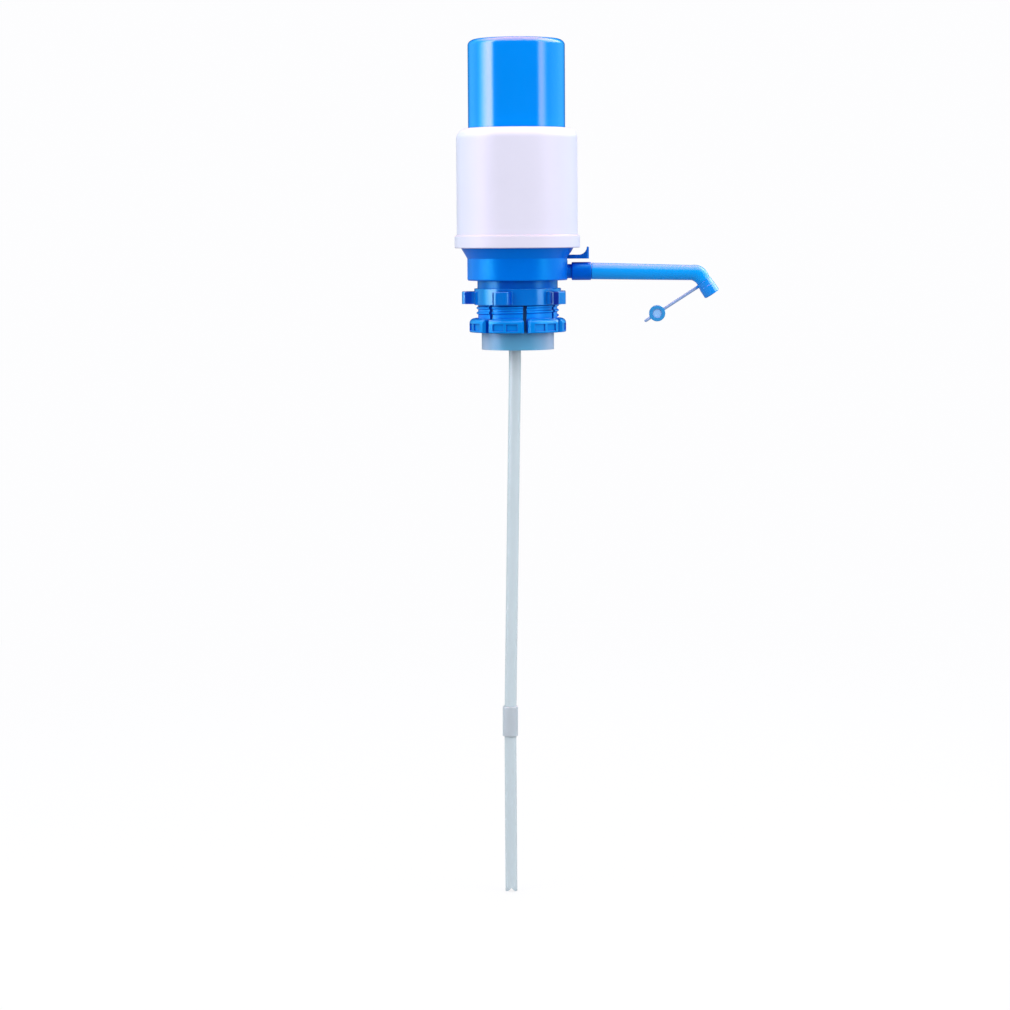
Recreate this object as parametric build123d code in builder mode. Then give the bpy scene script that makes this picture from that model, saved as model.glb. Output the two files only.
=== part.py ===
from build123d import *
import os
from math import atan2, cos, degrees, hypot, radians, sin, tan

# Hand pump for a large water bottle, in millimetres.
# Origin: centre of the gasket's mouth, where the bottle's neck goes in.
# +Z is up along the pump's axis, +X is along the spout.

os.makedirs("parts", exist_ok=True)

# ---- clearances ----
turn_gap = 0.05  # radial, pins and spigots that turn in a hole
cover_gap = 0.35  # radial, loose sliding and turning covers
seat_gap = 0.05  # parts fixed in or on each other
stop_gap = 0.2  # face of a moving part to the face that stops it
seal_gap = 0.03  # radial, rubber rings to their walls
press_gap = 0.02  # radial, pins and screws that stay put
merge = 1.0  # how far a form runs into what it joins, or a cut past what it opens

# ---- eased edges ----
small_round = 0.5
small_chamfer = 0.6

# ---- neck gasket ----
neck_r = 27.5  # outside of the bottle's neck
gasket_wall = 1.0
gasket_show = 13.6  # sleeve below the fingers
gasket_flange = 1.5
gasket_bead = 1.2  # flange's reach past the sleeve
gasket_lip = 6.0  # flange's reach inside the sleeve

# ---- collet: slotted fingers with a thread and lips ----
lip_rise = 6.9  # past the thread's root
lip_height = 11.0
lip_corner = 3.0
lip_round = 4.0  # rounding of the lip's upper outer edge
lip_foot = 0.9  # rounding of the lip's lower edge
finger_wall = 2.5
thread_rise = 1.2
thread_root_width = 3.0
thread_crest_width = 0.9
thread_sink = 0.4  # ridge's root inside the fingers
thread_pitch = 4.0
thread_length = 23.3
band_wall = 2.9
band_height = 6.2
finger_count = 7
finger_turn = 22.7  # first slot, degrees
slot_width = 3.0
slot_mouth = 2.0  # bevel of the slot's outer edges through the lips
slot_land = 3.5  # thread left whole above the slots
bead_drop = 4.5  # snap bead below the collet's top
bead_slope = 0.4
pocket_width = 9.0
pocket_depth = 1.3
pocket_rim = 1.6
pocket_rib = 2.4

# ---- lock ring ----
ring_wall = 1.4
ring_height = 12.9
lug_count = 5
lug_turn = 35.0  # first lug, degrees
lug_depth = 9.65  # past the ring's wall
lug_width = 14.2
lug_height = 9.9
lug_drop = 0.8  # lug's foot above the ring's
lug_corner = 4.5
lug_pocket = 7.0
ring_edge = 0.4  # rounding of the ring's and the lugs' outer edges

# ---- base body ----
barrel_room = 5.75  # from the collet's socket to the barrel's outside
barrel_height = 17.3
barrel_wall = 2.4
barrel_edge = 1.2  # rounding of its lower edge
flare_inset = 2.6  # flare's top edge inside the deck's
flare_height = 8.1
deck_inset = 0.7  # deck inside the shell's outer face
deck_thick = 3.0
deck_rim_height = 3.5
deck_rim_wall = 2.4
partition_drop = 10.0  # below the deck's underside
partition_thick = 2.0
skirt_drop = 8.1  # below the barrel's floor
skirt_wall = 2.7
socket_wall = 2.0
floor_thick = 2.2
rib_count = 8
rib_thick = 1.6
chimney_gap = 1.0  # radial, outlet valve to the chimney
chimney_wall = 1.6
snap_rise = 0.6
snap_height = 1.4
snap_count = 4
snap_lift = 1.0  # tabs above the deck's underside
snap_width = 12.0

# ---- spout socket and water passage ----
spout_z = 61.05
passage_r = 6.6
boss_r = 5.6
boss_length = 3.2
spout_socket_r = 7.1
spout_socket_length = 15.4
spout_socket_wall = 1.6
spout_socket_floor = 2.0
water_r = 3.0

# ---- riser elbow and dip tube ----
riser_x = -2.4
riser_r = 5.0
riser_bore = 3.2
riser_shoulder_z = 30.5
spigot_length = 22.0
spigot_bore = 2.2
riser_oring_r = 0.55
riser_oring_inset = 6.0  # from the riser's end
tube_r = 4.75
tube_wall = 1.1
tube_sway = 5.4  # lower section's offset from the riser
tube_knee_z = -12.0
tube_joint_z = -297.0
tube_foot_z = -435.0
tube_bend_r = 1200.0
tube_notch = 3.0
coupler_length = 24.0
coupler_wall = 1.2
coupler_gap = 0.15
coupler_fit = 0.3  # lower tube's necked end is thinner by this inside the coupler

# ---- release lever ----
lever_width = 10.0
lever_thick = 3.1
lever_drop = 8.65  # arm's underside below the deck's underside
pivot_inset = 6.4  # inside the barrel's face
lever_reach = 16.8  # tip past the barrel's face
lever_tail = 16.8  # tail behind the pivot
lever_tip_rise = 6.3
lever_tip_thick = 1.4
lever_corner = 2.0
lever_hub_r = 2.6
pin_r = 1.25
pin_show = 0.4  # pin past each ear
ear_thick = 2.5
ear_gap = 0.4
window_head = 1.6  # room over the arm
window_drop = 1.2  # room under the arm
vent_back = 13.0  # behind the pivot
vent_r = 1.9
vent_nozzle_r = 3.4
vent_nozzle_rise = 0.5
vent_seal_r = 3.6
lever_spring_back = 8.5  # behind the pivot
lever_spring_r = 2.3
lever_spring_wire = 0.25
lever_spring_turns = 4
stub_rise = 1.2

# ---- bellows, its clamp and the valves ----
bellows_gap = 2.6  # radial, to the cap's bore
fold_depth = 5.2
bellows_wall = 1.3
bellows_folds = 11
bellows_flange = 1.8
flange_inset = 0.8  # bellows' flange inside the clamp's edge
clamp_fold_gap = 1.0  # radial, to the bellows' folds
clamp_rim_gap = 2.0  # radial, to the deck's rim
clamp_thick = 3.0
clamp_screw_count = 6
clamp_screw_turn = 30.0  # first screw, degrees
screw_r = 1.2
screw_length = 7.5
screw_head_r = 2.2
screw_head = 1.5
screw_boss_r = 2.3
screw_boss = 2.2
screw_floor = 0.6  # boss left whole under its pilot hole
screw_slot = 0.5
screw_cross = 2.9
intake_gap = 0.45  # valve's lip to the spring's seat
intake_lip_r = 5.2
outlet_lip_r = 6.0
valve_stem_r = 1.4
valve_bulb_r = 2.0
valve_hole_r = 1.1
valve_lip = 1.5
valve_edge = 0.5  # lip's thickness at its rim
valve_tail = 1.7  # bulb past the deck
valve_bulb_start = 0.3

# ---- return spring ----
spring_gap = 3.9  # radial, to the bellows' folds
spring_wire = 0.9
spring_turns = 11
spring_seat_wall = 1.3
spring_seat_height = 4.0
spring_plate_thick = 3.0

# ---- outer shell and push cap ----
shell_inset = 9.5  # cap inside the shell's outer face
shell_wall = 2.2
shell_rim_reach = 1.8
shell_rim_height = 9.1
shell_rim_step = 1.4
shell_height = 93.3
shell_shoulder = 8.0
cap_r = 38.0
cap_wall = 2.0
cap_crown = 2.4
cap_show = 69.3  # cap above the shell
cap_dome = 0.4
cap_round_x = 6.2
cap_round_z = 4.7
cap_flange_gap = 0.7  # radial, to the shell's bore
cap_flange_slope = 4.6
cap_flange_land = 2.0
cap_flange_neck = 2.2  # flange's flat ring round the cap

# ---- spout ----
spout_root_r = 6.5
spout_end_r = 5.95
spout_leg_r = 5.6
spout_bore = 4.3
spout_reach = 84.3  # corner past the socket
spout_droop = 1.9  # corner below the socket's axis
leg_angle = 57.0  # below horizontal
leg_length = 20.1
bend_r = 10.0
bend_swell = 0.5
leg_taper = 2.4
bore_lead = 3.0  # from the spout's shoulder to its wide bore
oring_groove = 1.65
oring_r = 0.8
oring_inset = 4.0  # from the spigot's end
oring_pitch = 5.0

# ---- plug tether ----
sleeve_wall = 0.55
sleeve_length = 12.0
sleeve_inset = 0.3
sleeve_foot = 7.3  # length of the sleeve's thicker end
sleeve_step = 0.3
strap_r = 1.2
strap_angle = 32.6  # below horizontal
strap_inset = 1.4  # strap's axis below the sleeve's top edge
plug_distance = 44.4  # from the leg's axis
plug_r = 6.4
plug_rim = 2.4
plug_dish = 0.6
plug_web = 1.0
plug_rim_overlap = 1.0  # strap's reach into the rim
plug_fit = 0.12
plug_dish_r = 3.6
plug_stub_wall = 0.9
plug_stub_length = 6.0
plug_tab = 5.4  # tab past the plug's rim

# ---- levels along the axis ----
lip_z = gasket_show
thread_z = lip_z + lip_height
band_z = thread_z + thread_length
barrel_z = band_z + band_height
flare_z = barrel_z + barrel_height
deck_z = flare_z + flare_height
deck_top = deck_z + deck_thick
rim_top = deck_top + deck_rim_height
snap_z = deck_z + snap_lift
partition_top = deck_z - partition_drop
partition_z = partition_top - partition_thick
nozzle_top = partition_top + vent_nozzle_rise
skirt_z = barrel_z - skirt_drop
ring_z = band_z - ring_height
shell_top = deck_z + shell_height
cap_top = shell_top + cap_show
crown_z = cap_top - cap_crown
flange_top = shell_top - shell_wall - stop_gap
clamp_z = deck_top + bellows_flange
clamp_top = clamp_z + clamp_thick
bellows_top = crown_z - seat_gap
plate_top = bellows_top - bellows_wall - seat_gap
plate_z = plate_top - spring_plate_thick

# ---- radii around the axis ----
gasket_r = neck_r + gasket_wall
finger_bore = gasket_r + stop_gap
thread_root = finger_bore + finger_wall
thread_crest = thread_root + thread_rise
lip_r = thread_root + lip_rise
band_r = finger_bore + band_wall
skirt_r = finger_bore - cover_gap
skirt_bore = skirt_r - skirt_wall
socket_bore = band_r + seat_gap
ring_bore = thread_crest + cover_gap
ring_r = ring_bore + ring_wall
lug_reach = ring_r + lug_depth
barrel_r = socket_bore + socket_wall + barrel_room
barrel_inner = barrel_r - barrel_wall
shell_r = cap_r + shell_inset
shell_bore = shell_r - shell_wall
shell_rim_r = shell_r + shell_rim_reach
deck_r = shell_r - deck_inset
rim_inner = deck_r - deck_rim_wall
flare_r = deck_r - flare_inset
flare_inner = flare_r - barrel_wall
shell_mouth = deck_r + stop_gap
cap_mouth = cap_r + cover_gap
cap_bore = cap_r - cap_wall
cap_flange_r = shell_bore - cap_flange_gap
bellows_r = cap_bore - bellows_gap
bellows_root_r = bellows_r - fold_depth
fold_bore = bellows_root_r - bellows_wall
clamp_r = rim_inner - clamp_rim_gap
clamp_inner_r = bellows_r + clamp_fold_gap
clamp_screw_circle = (clamp_inner_r + clamp_r) / 2
bellows_flange_r = clamp_r - flange_inset
spring_r = fold_bore - spring_gap
spring_seat_r = spring_r - spring_wire - cover_gap
intake_x = intake_lip_r + spring_seat_wall + intake_gap - spring_seat_r
chimney_bore = outlet_lip_r + chimney_gap
tube_bore = tube_r - tube_wall

# ---- places along the spout ----
socket_x = barrel_r + boss_length
spout_x = socket_x + spout_socket_length
spout_socket_bore = spout_socket_r - spout_socket_wall
spigot_r = spout_socket_bore - turn_gap
spigot_x = socket_x + spout_socket_floor
riser_end = barrel_inner
riser_oring_x = riser_end - riser_oring_inset
leg_dir = Vector(cos(radians(leg_angle)), 0, -sin(radians(leg_angle)))
side_dir = Vector(-sin(radians(leg_angle)), 0, -cos(radians(leg_angle)))
corner = Vector(spout_x + spout_reach, 0, spout_z - spout_droop)
tip = corner + leg_dir * leg_length
lever_z = deck_z - lever_drop
pivot_z = lever_z + lever_thick / 2
lever_pivot_x = barrel_r - pivot_inset
lever_tip_x = barrel_r + lever_reach
lever_tail_x = lever_pivot_x - lever_tail
vent_x = lever_pivot_x - vent_back
lever_spring_x = lever_pivot_x - lever_spring_back
lower_tube_x = riser_x - tube_sway
coupler_foot_z = tube_joint_z - coupler_length / 2


def disc(radius, height, x=0, z=0):
    """A plain upright cylinder standing at x, z."""
    stand = (Align.CENTER, Align.CENTER, Align.MIN)
    return Pos(x, 0, z) * Cylinder(radius, height, align=stand, mode=Mode.PRIVATE)


def block(low, high):
    """A box between two corners."""
    size = [b - a for a, b in zip(low, high)]
    stand = (Align.MIN, Align.MIN, Align.MIN)
    return Pos(*low) * Box(*size, align=stand, mode=Mode.PRIVATE)


def write(part, name):
    """Label a finished piece and write it to its own file."""
    part.label = name
    export_step(part, f"parts/{name}.step")


def umbrella(x, seat, lip, up):
    """A rubber valve: a domed lip on its seat and a stem with a bulb through the deck."""
    side = 1 if up else -1
    far = seat - side * deck_thick
    with BuildPart() as valve:
        with BuildSketch(Plane(origin=(x, 0, 0), x_dir=(1, 0, 0), z_dir=(0, -1, 0))):
            with BuildLine():
                outline = [
                    (0, seat + side * valve_lip),
                    (valve_bulb_r, seat + side * valve_lip),
                    (lip, seat + side * valve_edge),
                    (lip, seat),
                    (valve_stem_r, seat),
                    (valve_stem_r, far),
                    (valve_bulb_r, far - side * valve_bulb_start),
                    (valve_stem_r, far - side * valve_tail),
                    (0, far - side * valve_tail),
                ]
                Polyline(*outline, close=True)
            make_face()
        revolve(axis=Axis((x, 0, 0), (0, 0, 1)))
    return valve.part


def coil(x, low, high, radius, wire, turns):
    """A round-wire compression spring standing between two seats."""
    pitch = (high - low - 2 * wire) / turns
    with BuildPart() as spring:
        with BuildLine() as path:
            Helix(pitch, pitch * turns, radius, center=(x, 0, low + wire))
        with BuildSketch(Plane(path.line @ 0, z_dir=path.line % 0)):
            Circle(wire)
        sweep(path=path.line, is_frenet=True)
    return spring.part


# ---- neck gasket: a sleeve with a flange that seals on the bottle's lip ----
with BuildPart() as neck_gasket:
    with BuildSketch(Plane.XZ):
        with BuildLine():
            Polyline(
                (neck_r, 0),
                (gasket_r, 0),
                (gasket_r, skirt_z - gasket_flange),
                (gasket_r + gasket_bead, skirt_z - gasket_flange),
                (gasket_r + gasket_bead, skirt_z),
                (neck_r - gasket_lip, skirt_z),
                (neck_r - gasket_lip, skirt_z - gasket_flange),
                (neck_r, skirt_z - gasket_flange),
                close=True,
            )
        make_face()
    revolve(axis=Axis.Z)
write(neck_gasket.part, "neck_gasket")

# ---- collet ----
collet_top = partition_z - seat_gap
bead_z = collet_top - bead_drop
bead_top = bead_z + snap_height
groove_r = gasket_r + gasket_bead + stop_gap
groove_z = skirt_z - gasket_flange - stop_gap

with BuildPart() as neck_collet:
    with BuildSketch(Plane.XZ):
        with BuildLine():
            RadiusArc((lip_r - lip_foot, lip_z), (lip_r, lip_z + lip_foot), -lip_foot)
            Polyline(
                (lip_r, lip_z + lip_foot),
                (lip_r, thread_z),
                (thread_root, thread_z),
                (thread_root, band_z - bead_slope),
                (band_r, band_z),
                (band_r, bead_z),
                (band_r + snap_rise, bead_z + bead_slope),
                (band_r + snap_rise, bead_top),
                (band_r, bead_top + stop_gap),
                (band_r, collet_top - small_chamfer),
                (band_r - small_chamfer, collet_top),
                (finger_bore, collet_top),
                (finger_bore, skirt_z + stop_gap),
                (groove_r, skirt_z + stop_gap),
                (groove_r, groove_z),
                (finger_bore, groove_z),
                (finger_bore, lip_z),
                (lip_r - lip_foot, lip_z),
            )
        make_face()
    revolve(axis=Axis.Z)
    # screw thread round the fingers
    thread_turns = (thread_length - 1.5 * thread_pitch) / thread_pitch
    with BuildLine() as thread_path:
        Helix(
            thread_pitch,
            thread_pitch * thread_turns,
            thread_root,
            center=(0, 0, thread_z + thread_pitch / 2),
        )
    with BuildSketch(Plane(thread_path.line @ 0, x_dir=(1, 0, 0), z_dir=thread_path.line % 0)):
        with BuildLine():
            Polyline(
                (-thread_sink, -thread_root_width / 2),
                (thread_rise, -thread_crest_width / 2),
                (thread_rise, thread_crest_width / 2),
                (-thread_sink, thread_root_width / 2),
                close=True,
            )
        make_face()
    sweep(path=thread_path.line, is_frenet=True)
    # slots between the fingers
    slot_top = band_z - slot_land
    with BuildSketch(Plane.XY.offset(lip_z)):
        with PolarLocations(0, finger_count, start_angle=finger_turn):
            with Locations((lip_r, 0)):
                Rectangle(lip_r, slot_width)
    extrude(amount=slot_top - lip_z, mode=Mode.SUBTRACT)
    # rounded upper corners of each lip
    corners = (
        neck_collet.edges()
        .filter_by(GeomType.LINE)
        .filter_by(lambda e: abs((e @ 0).Z - thread_z) < 0.01 and abs((e @ 1).Z - thread_z) < 0.01)
    )
    fillet(corners, lip_corner)
    # lips' upper outer edge
    with BuildSketch(Plane.XZ):
        with BuildLine():
            RadiusArc((lip_r - lip_round, thread_z), (lip_r, thread_z - lip_round), lip_round)
            Polyline(
                (lip_r, thread_z - lip_round),
                (lip_r + merge, thread_z - lip_round),
                (lip_r + merge, thread_z + merge),
                (lip_r - lip_round, thread_z + merge),
                (lip_r - lip_round, thread_z),
            )
        make_face()
    revolve(axis=Axis.Z, mode=Mode.SUBTRACT)
    # bevelled mouths of the slots
    mouth_reach = slot_width / 2 + slot_mouth
    mouth_side = hypot(mouth_reach, mouth_reach)
    with BuildSketch(Plane.XY.offset(lip_z)):
        with PolarLocations(lip_r, finger_count, start_angle=finger_turn):
            Rectangle(mouth_side, mouth_side, rotation=45)
    extrude(amount=lip_height, mode=Mode.SUBTRACT)
    # two shallow pockets in the face of each lip, with a rib between
    half = 180 / finger_count
    lean = degrees(atan2((pocket_width + pocket_rib) / 2, lip_r))
    for side in (-lean, lean):
        with PolarLocations(0, finger_count, start_angle=finger_turn + half + side):
            with Locations((lip_r, 0, lip_z + pocket_rim)):
                Box(
                    2 * pocket_depth,
                    pocket_width,
                    lip_height - lip_round - pocket_rim,
                    align=(Align.CENTER, Align.CENTER, Align.MIN),
                    mode=Mode.SUBTRACT,
                )
    # key notch that clears the water passage
    with Locations((band_r, 0, spout_z - passage_r - cover_gap)):
        Box(
            3 * band_wall,
            2 * (passage_r + cover_gap),
            barrel_height,
            align=(Align.CENTER, Align.CENTER, Align.MIN),
            mode=Mode.SUBTRACT,
        )
write(neck_collet.part, "neck_collet")

# ---- lock ring ----
with BuildPart() as lock_ring:
    with BuildSketch(Plane.XY.offset(ring_z + lug_drop)):
        with PolarLocations(0, lug_count, start_angle=lug_turn):
            with Locations(((ring_bore + lug_reach) / 2, 0)):
                Rectangle(lug_reach - ring_bore, lug_width)
    extrude(amount=lug_height)
    fillet(lock_ring.edges().filter_by(Axis.Z).group_by(SortBy.DISTANCE)[-1], lug_corner)
    fillet(lock_ring.edges().group_by(Axis.Z)[-1], 2 * ring_edge)
    with BuildSketch(Plane.XY.offset(ring_z)):
        Circle(ring_r)
    extrude(amount=ring_height)
    round_edges = lock_ring.edges().filter_by(GeomType.CIRCLE).filter_by(
        lambda e: abs(e.radius - ring_r) < 0.01 and abs(e.tangent_at(0).Z) < 0.01
    )
    fillet(round_edges.group_by(Axis.Z)[0] + round_edges.group_by(Axis.Z)[-1], ring_edge)
    with BuildSketch(Plane.XY.offset(ring_z)):
        Circle(ring_bore)
    extrude(amount=ring_height, mode=Mode.SUBTRACT)
    # lugs are cored out from below
    with BuildSketch(Plane.XY.offset(ring_z + lug_drop)):
        with PolarLocations(0, lug_count, start_angle=lug_turn):
            with Locations(((ring_r + lug_reach) / 2, 0)):
                Rectangle(lug_reach - ring_r - 2 * ring_wall, lug_width - 3 * ring_wall)
    extrude(amount=lug_pocket, mode=Mode.SUBTRACT)
write(lock_ring.part, "lock_ring")

# ---- base body: deck, flare, barrel and spout socket in one moulding ----
with BuildPart() as base_body:
    # barrel floor, barrel wall, flare, deck and its rim
    with BuildSketch(Plane.XZ):
        with BuildLine():
            RadiusArc((barrel_r - barrel_edge, barrel_z), (barrel_r, barrel_z + barrel_edge), -barrel_edge)
            Polyline(
                (barrel_r, barrel_z + barrel_edge),
                (barrel_r, flare_z),
                (flare_r, deck_z),
                (deck_r, deck_z),
                (deck_r, rim_top),
                (rim_inner, rim_top),
                (rim_inner, deck_top),
                (0, deck_top),
                (0, deck_z),
                (flare_inner, deck_z),
                (barrel_inner, flare_z),
                (barrel_inner, barrel_z + floor_thick),
                (socket_bore + socket_wall, barrel_z + floor_thick),
                (socket_bore + socket_wall, partition_z),
                (socket_bore, partition_z),
                (socket_bore, barrel_z),
                (barrel_r - barrel_edge, barrel_z),
            )
        make_face()
    revolve(axis=Axis.Z)
    # partition over the air chamber, and the skirt that seals on the gasket
    with BuildSketch(Plane.XY.offset(partition_z)):
        Circle(barrel_inner)
    extrude(amount=partition_thick)
    with BuildSketch(Plane.XY.offset(skirt_z)):
        Circle(skirt_r)
        Circle(skirt_bore, mode=Mode.SUBTRACT)
    extrude(amount=partition_z - skirt_z)
    # chimney that leads the air from the deck to the chamber
    with BuildSketch(Plane.XY.offset(partition_z)):
        Circle(chimney_bore + chimney_wall)
    extrude(amount=deck_z - partition_z)
    with BuildSketch(Plane.XY.offset(partition_z)):
        Circle(chimney_bore)
    extrude(amount=deck_z - partition_z, mode=Mode.SUBTRACT)
    # ribs between the socket and the barrel
    with BuildSketch(Plane.XY.offset(barrel_z + floor_thick)):
        with PolarLocations(0, rib_count, start_angle=180 / rib_count):
            with Locations(((socket_bore + socket_wall + barrel_inner) / 2, 0)):
                Rectangle(barrel_inner - socket_bore - socket_wall + merge, rib_thick)
    extrude(amount=partition_z - barrel_z - floor_thick)
    # groove for the collet's snap bead
    with BuildSketch(Plane.XZ):
        with BuildLine():
            Polyline(
                (socket_bore, bead_z - stop_gap),
                (socket_bore + snap_rise, bead_z),
                (socket_bore + snap_rise, bead_top + stop_gap),
                (socket_bore, bead_top + 2 * stop_gap),
                close=True,
            )
        make_face()
    revolve(axis=Axis.Z, mode=Mode.SUBTRACT)
    # water passage across the chamber wall, and the spout's socket
    with BuildSketch(Plane.YZ.offset(skirt_bore)):
        with Locations((0, spout_z)):
            Circle(passage_r)
    extrude(amount=barrel_inner - skirt_bore + merge)
    with BuildSketch(Plane.YZ.offset(barrel_inner)):
        with Locations((0, spout_z)):
            Circle(boss_r)
    extrude(amount=socket_x - barrel_inner)
    with BuildSketch(Plane.YZ.offset(socket_x)):
        with Locations((0, spout_z)):
            Circle(spout_socket_r)
    extrude(amount=spout_socket_length)
    fillet(
        base_body.edges()
        .filter_by(GeomType.CIRCLE)
        .filter_by(lambda e: abs(e.radius - spout_socket_r) < 0.01),
        spout_socket_wall / 2,
    )
    with BuildSketch(Plane.YZ.offset(spigot_x)):
        with Locations((0, spout_z)):
            Circle(spout_socket_bore)
    extrude(amount=spout_socket_length, mode=Mode.SUBTRACT)
    with BuildSketch(Plane.YZ.offset(skirt_bore - merge)):
        with Locations((0, spout_z)):
            Circle(riser_r + seat_gap)
    extrude(amount=riser_end - skirt_bore + merge, mode=Mode.SUBTRACT)
    with BuildSketch(Plane.YZ.offset(riser_end - merge)):
        with Locations((0, spout_z)):
            Circle(water_r)
    extrude(amount=spigot_x - riser_end + 2 * merge, mode=Mode.SUBTRACT)
    # lever window through the flare
    window_half = lever_width / 2 + ear_gap
    add(
        block(
            (barrel_inner - barrel_wall, -window_half, lever_z - window_drop),
            (deck_r, window_half, lever_z + lever_thick + window_head),
        ),
        mode=Mode.SUBTRACT,
    )
    # ears that hold the lever's pin
    with BuildSketch(Plane.XZ.offset(-window_half - ear_thick)):
        with Locations((lever_pivot_x, (pivot_z + partition_top) / 2)):
            Rectangle(2 * lever_hub_r, pivot_z - partition_top)
        with Locations((lever_pivot_x, pivot_z)):
            Circle(lever_hub_r)
    extrude(amount=ear_thick)
    mirror(about=Plane.XZ)
    with Locations(Location((lever_pivot_x, 0, pivot_z), (90, 0, 0))):
        Cylinder(pin_r + press_gap, 2 * (window_half + ear_thick + merge), mode=Mode.SUBTRACT)
    # vent nozzle under the lever's pad
    add(disc(vent_nozzle_r, nozzle_top - partition_top, vent_x, partition_top))
    add(disc(vent_r, nozzle_top - partition_z, vent_x, partition_z), mode=Mode.SUBTRACT)
    # stub that keeps the lever's spring in place
    stub_r = lever_spring_r - 2 * lever_spring_wire
    add(disc(stub_r, stub_rise, lever_spring_x, deck_z - stub_rise))
    # seat ring of the return spring
    with BuildSketch(Plane.XY.offset(deck_top)):
        Circle(spring_seat_r)
        Circle(spring_seat_r - spring_seat_wall, mode=Mode.SUBTRACT)
    extrude(amount=spring_seat_height)
    # valve seats: a hole for each stem and the air holes round it
    for x, lip, count in ((intake_x, intake_lip_r, 5), (0, outlet_lip_r, 6)):
        with Locations((x, 0, deck_z)):
            Cylinder(
                valve_stem_r + seat_gap,
                3 * deck_thick,
                mode=Mode.SUBTRACT,
            )
            with PolarLocations((lip + valve_stem_r) / 2, count):
                Cylinder(valve_hole_r, 3 * deck_thick, mode=Mode.SUBTRACT)
    # bosses and pilot holes for the clamp's screws
    with BuildSketch(Plane.XY.offset(deck_z - screw_boss)):
        with PolarLocations(clamp_screw_circle, clamp_screw_count, start_angle=clamp_screw_turn):
            Circle(screw_boss_r)
    extrude(amount=screw_boss)
    with BuildSketch(Plane.XY.offset(deck_z - screw_boss + screw_floor)):
        with PolarLocations(clamp_screw_circle, clamp_screw_count, start_angle=clamp_screw_turn):
            Circle(screw_r + press_gap)
    extrude(amount=deck_thick + screw_boss, mode=Mode.SUBTRACT)
    # snap tabs for the shell
    with BuildSketch(Plane.XY.offset(snap_z)):
        with PolarLocations(deck_r, snap_count, start_angle=180 / snap_count):
            Rectangle(3 * snap_rise, snap_width)
        Circle(deck_r + snap_rise, mode=Mode.INTERSECT)
    extrude(amount=snap_height)
write(base_body.part, "base_body")


# ---- riser elbow: pipe from the dip tube to the water passage ----
riser_spigot_r = tube_bore - seat_gap
riser_foot_z = riser_shoulder_z - spigot_length
riser_tip = riser_end - seat_gap
riser_groove_r = riser_r - 2 * riser_oring_r

with BuildPart() as riser_elbow:
    with BuildSketch(Plane.XY.offset(riser_shoulder_z)):
        with Locations((riser_x, 0)):
            Circle(riser_r)
    extrude(amount=spout_z - riser_shoulder_z)
    with BuildSketch(Plane.YZ.offset(riser_x)):
        with Locations((0, spout_z)):
            Circle(riser_r)
    extrude(amount=riser_tip - riser_x)
    with Locations((riser_x, 0, spout_z)):
        Sphere(riser_r)
    with BuildSketch(Plane.XY.offset(riser_foot_z)):
        with Locations((riser_x, 0)):
            Circle(riser_spigot_r)
    extrude(amount=spigot_length)
    chamfer(riser_elbow.edges().sort_by(Axis.Z)[0], small_chamfer)
    # groove for the seal
    with BuildSketch(Plane.YZ.offset(riser_oring_x - riser_oring_r - seat_gap)):
        with Locations((0, spout_z)):
            Circle(riser_r + merge)
            Circle(riser_groove_r, mode=Mode.SUBTRACT)
    extrude(amount=2 * riser_oring_r + 2 * seat_gap, mode=Mode.SUBTRACT)
    # the water's way through
    with BuildSketch(Plane.XY.offset(riser_shoulder_z + merge)):
        with Locations((riser_x, 0)):
            Circle(riser_bore)
    extrude(amount=spout_z - riser_shoulder_z - merge, mode=Mode.SUBTRACT)
    with BuildSketch(Plane.YZ.offset(riser_x)):
        with Locations((0, spout_z)):
            Circle(riser_bore)
    extrude(amount=riser_end - riser_x, mode=Mode.SUBTRACT)
    with Locations((riser_x, 0, spout_z)):
        Sphere(riser_bore, mode=Mode.SUBTRACT)
    with BuildSketch(Plane.XY.offset(riser_foot_z)):
        with Locations((riser_x, 0)):
            Circle(spigot_bore)
    extrude(amount=spigot_length + 2 * merge, mode=Mode.SUBTRACT)
write(riser_elbow.part, "riser_elbow")

with BuildPart() as riser_oring:
    with Locations(Location((riser_oring_x, 0, spout_z), (0, 90, 0))):
        Torus(riser_groove_r + riser_oring_r + seal_gap, riser_oring_r - seal_gap / 2)
write(riser_oring.part, "riser_oring")

# ---- dip tube in two sections, and the sleeve that joins them ----
tube_lean = degrees(atan2(tube_sway, tube_knee_z - tube_joint_z))

with BuildPart() as dip_tube_upper:
    with BuildLine(Plane.XZ) as tube_path:
        FilletPolyline(
            (riser_x, riser_shoulder_z - seat_gap),
            (riser_x, tube_knee_z),
            (lower_tube_x, tube_joint_z + stop_gap),
            radius=tube_bend_r,
        )
    with BuildSketch(Plane(tube_path.line @ 0, z_dir=tube_path.line % 0)):
        Circle(tube_r)
        Circle(tube_bore, mode=Mode.SUBTRACT)
    sweep(path=tube_path.line)
write(dip_tube_upper.part, "dip_tube_upper")

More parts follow.
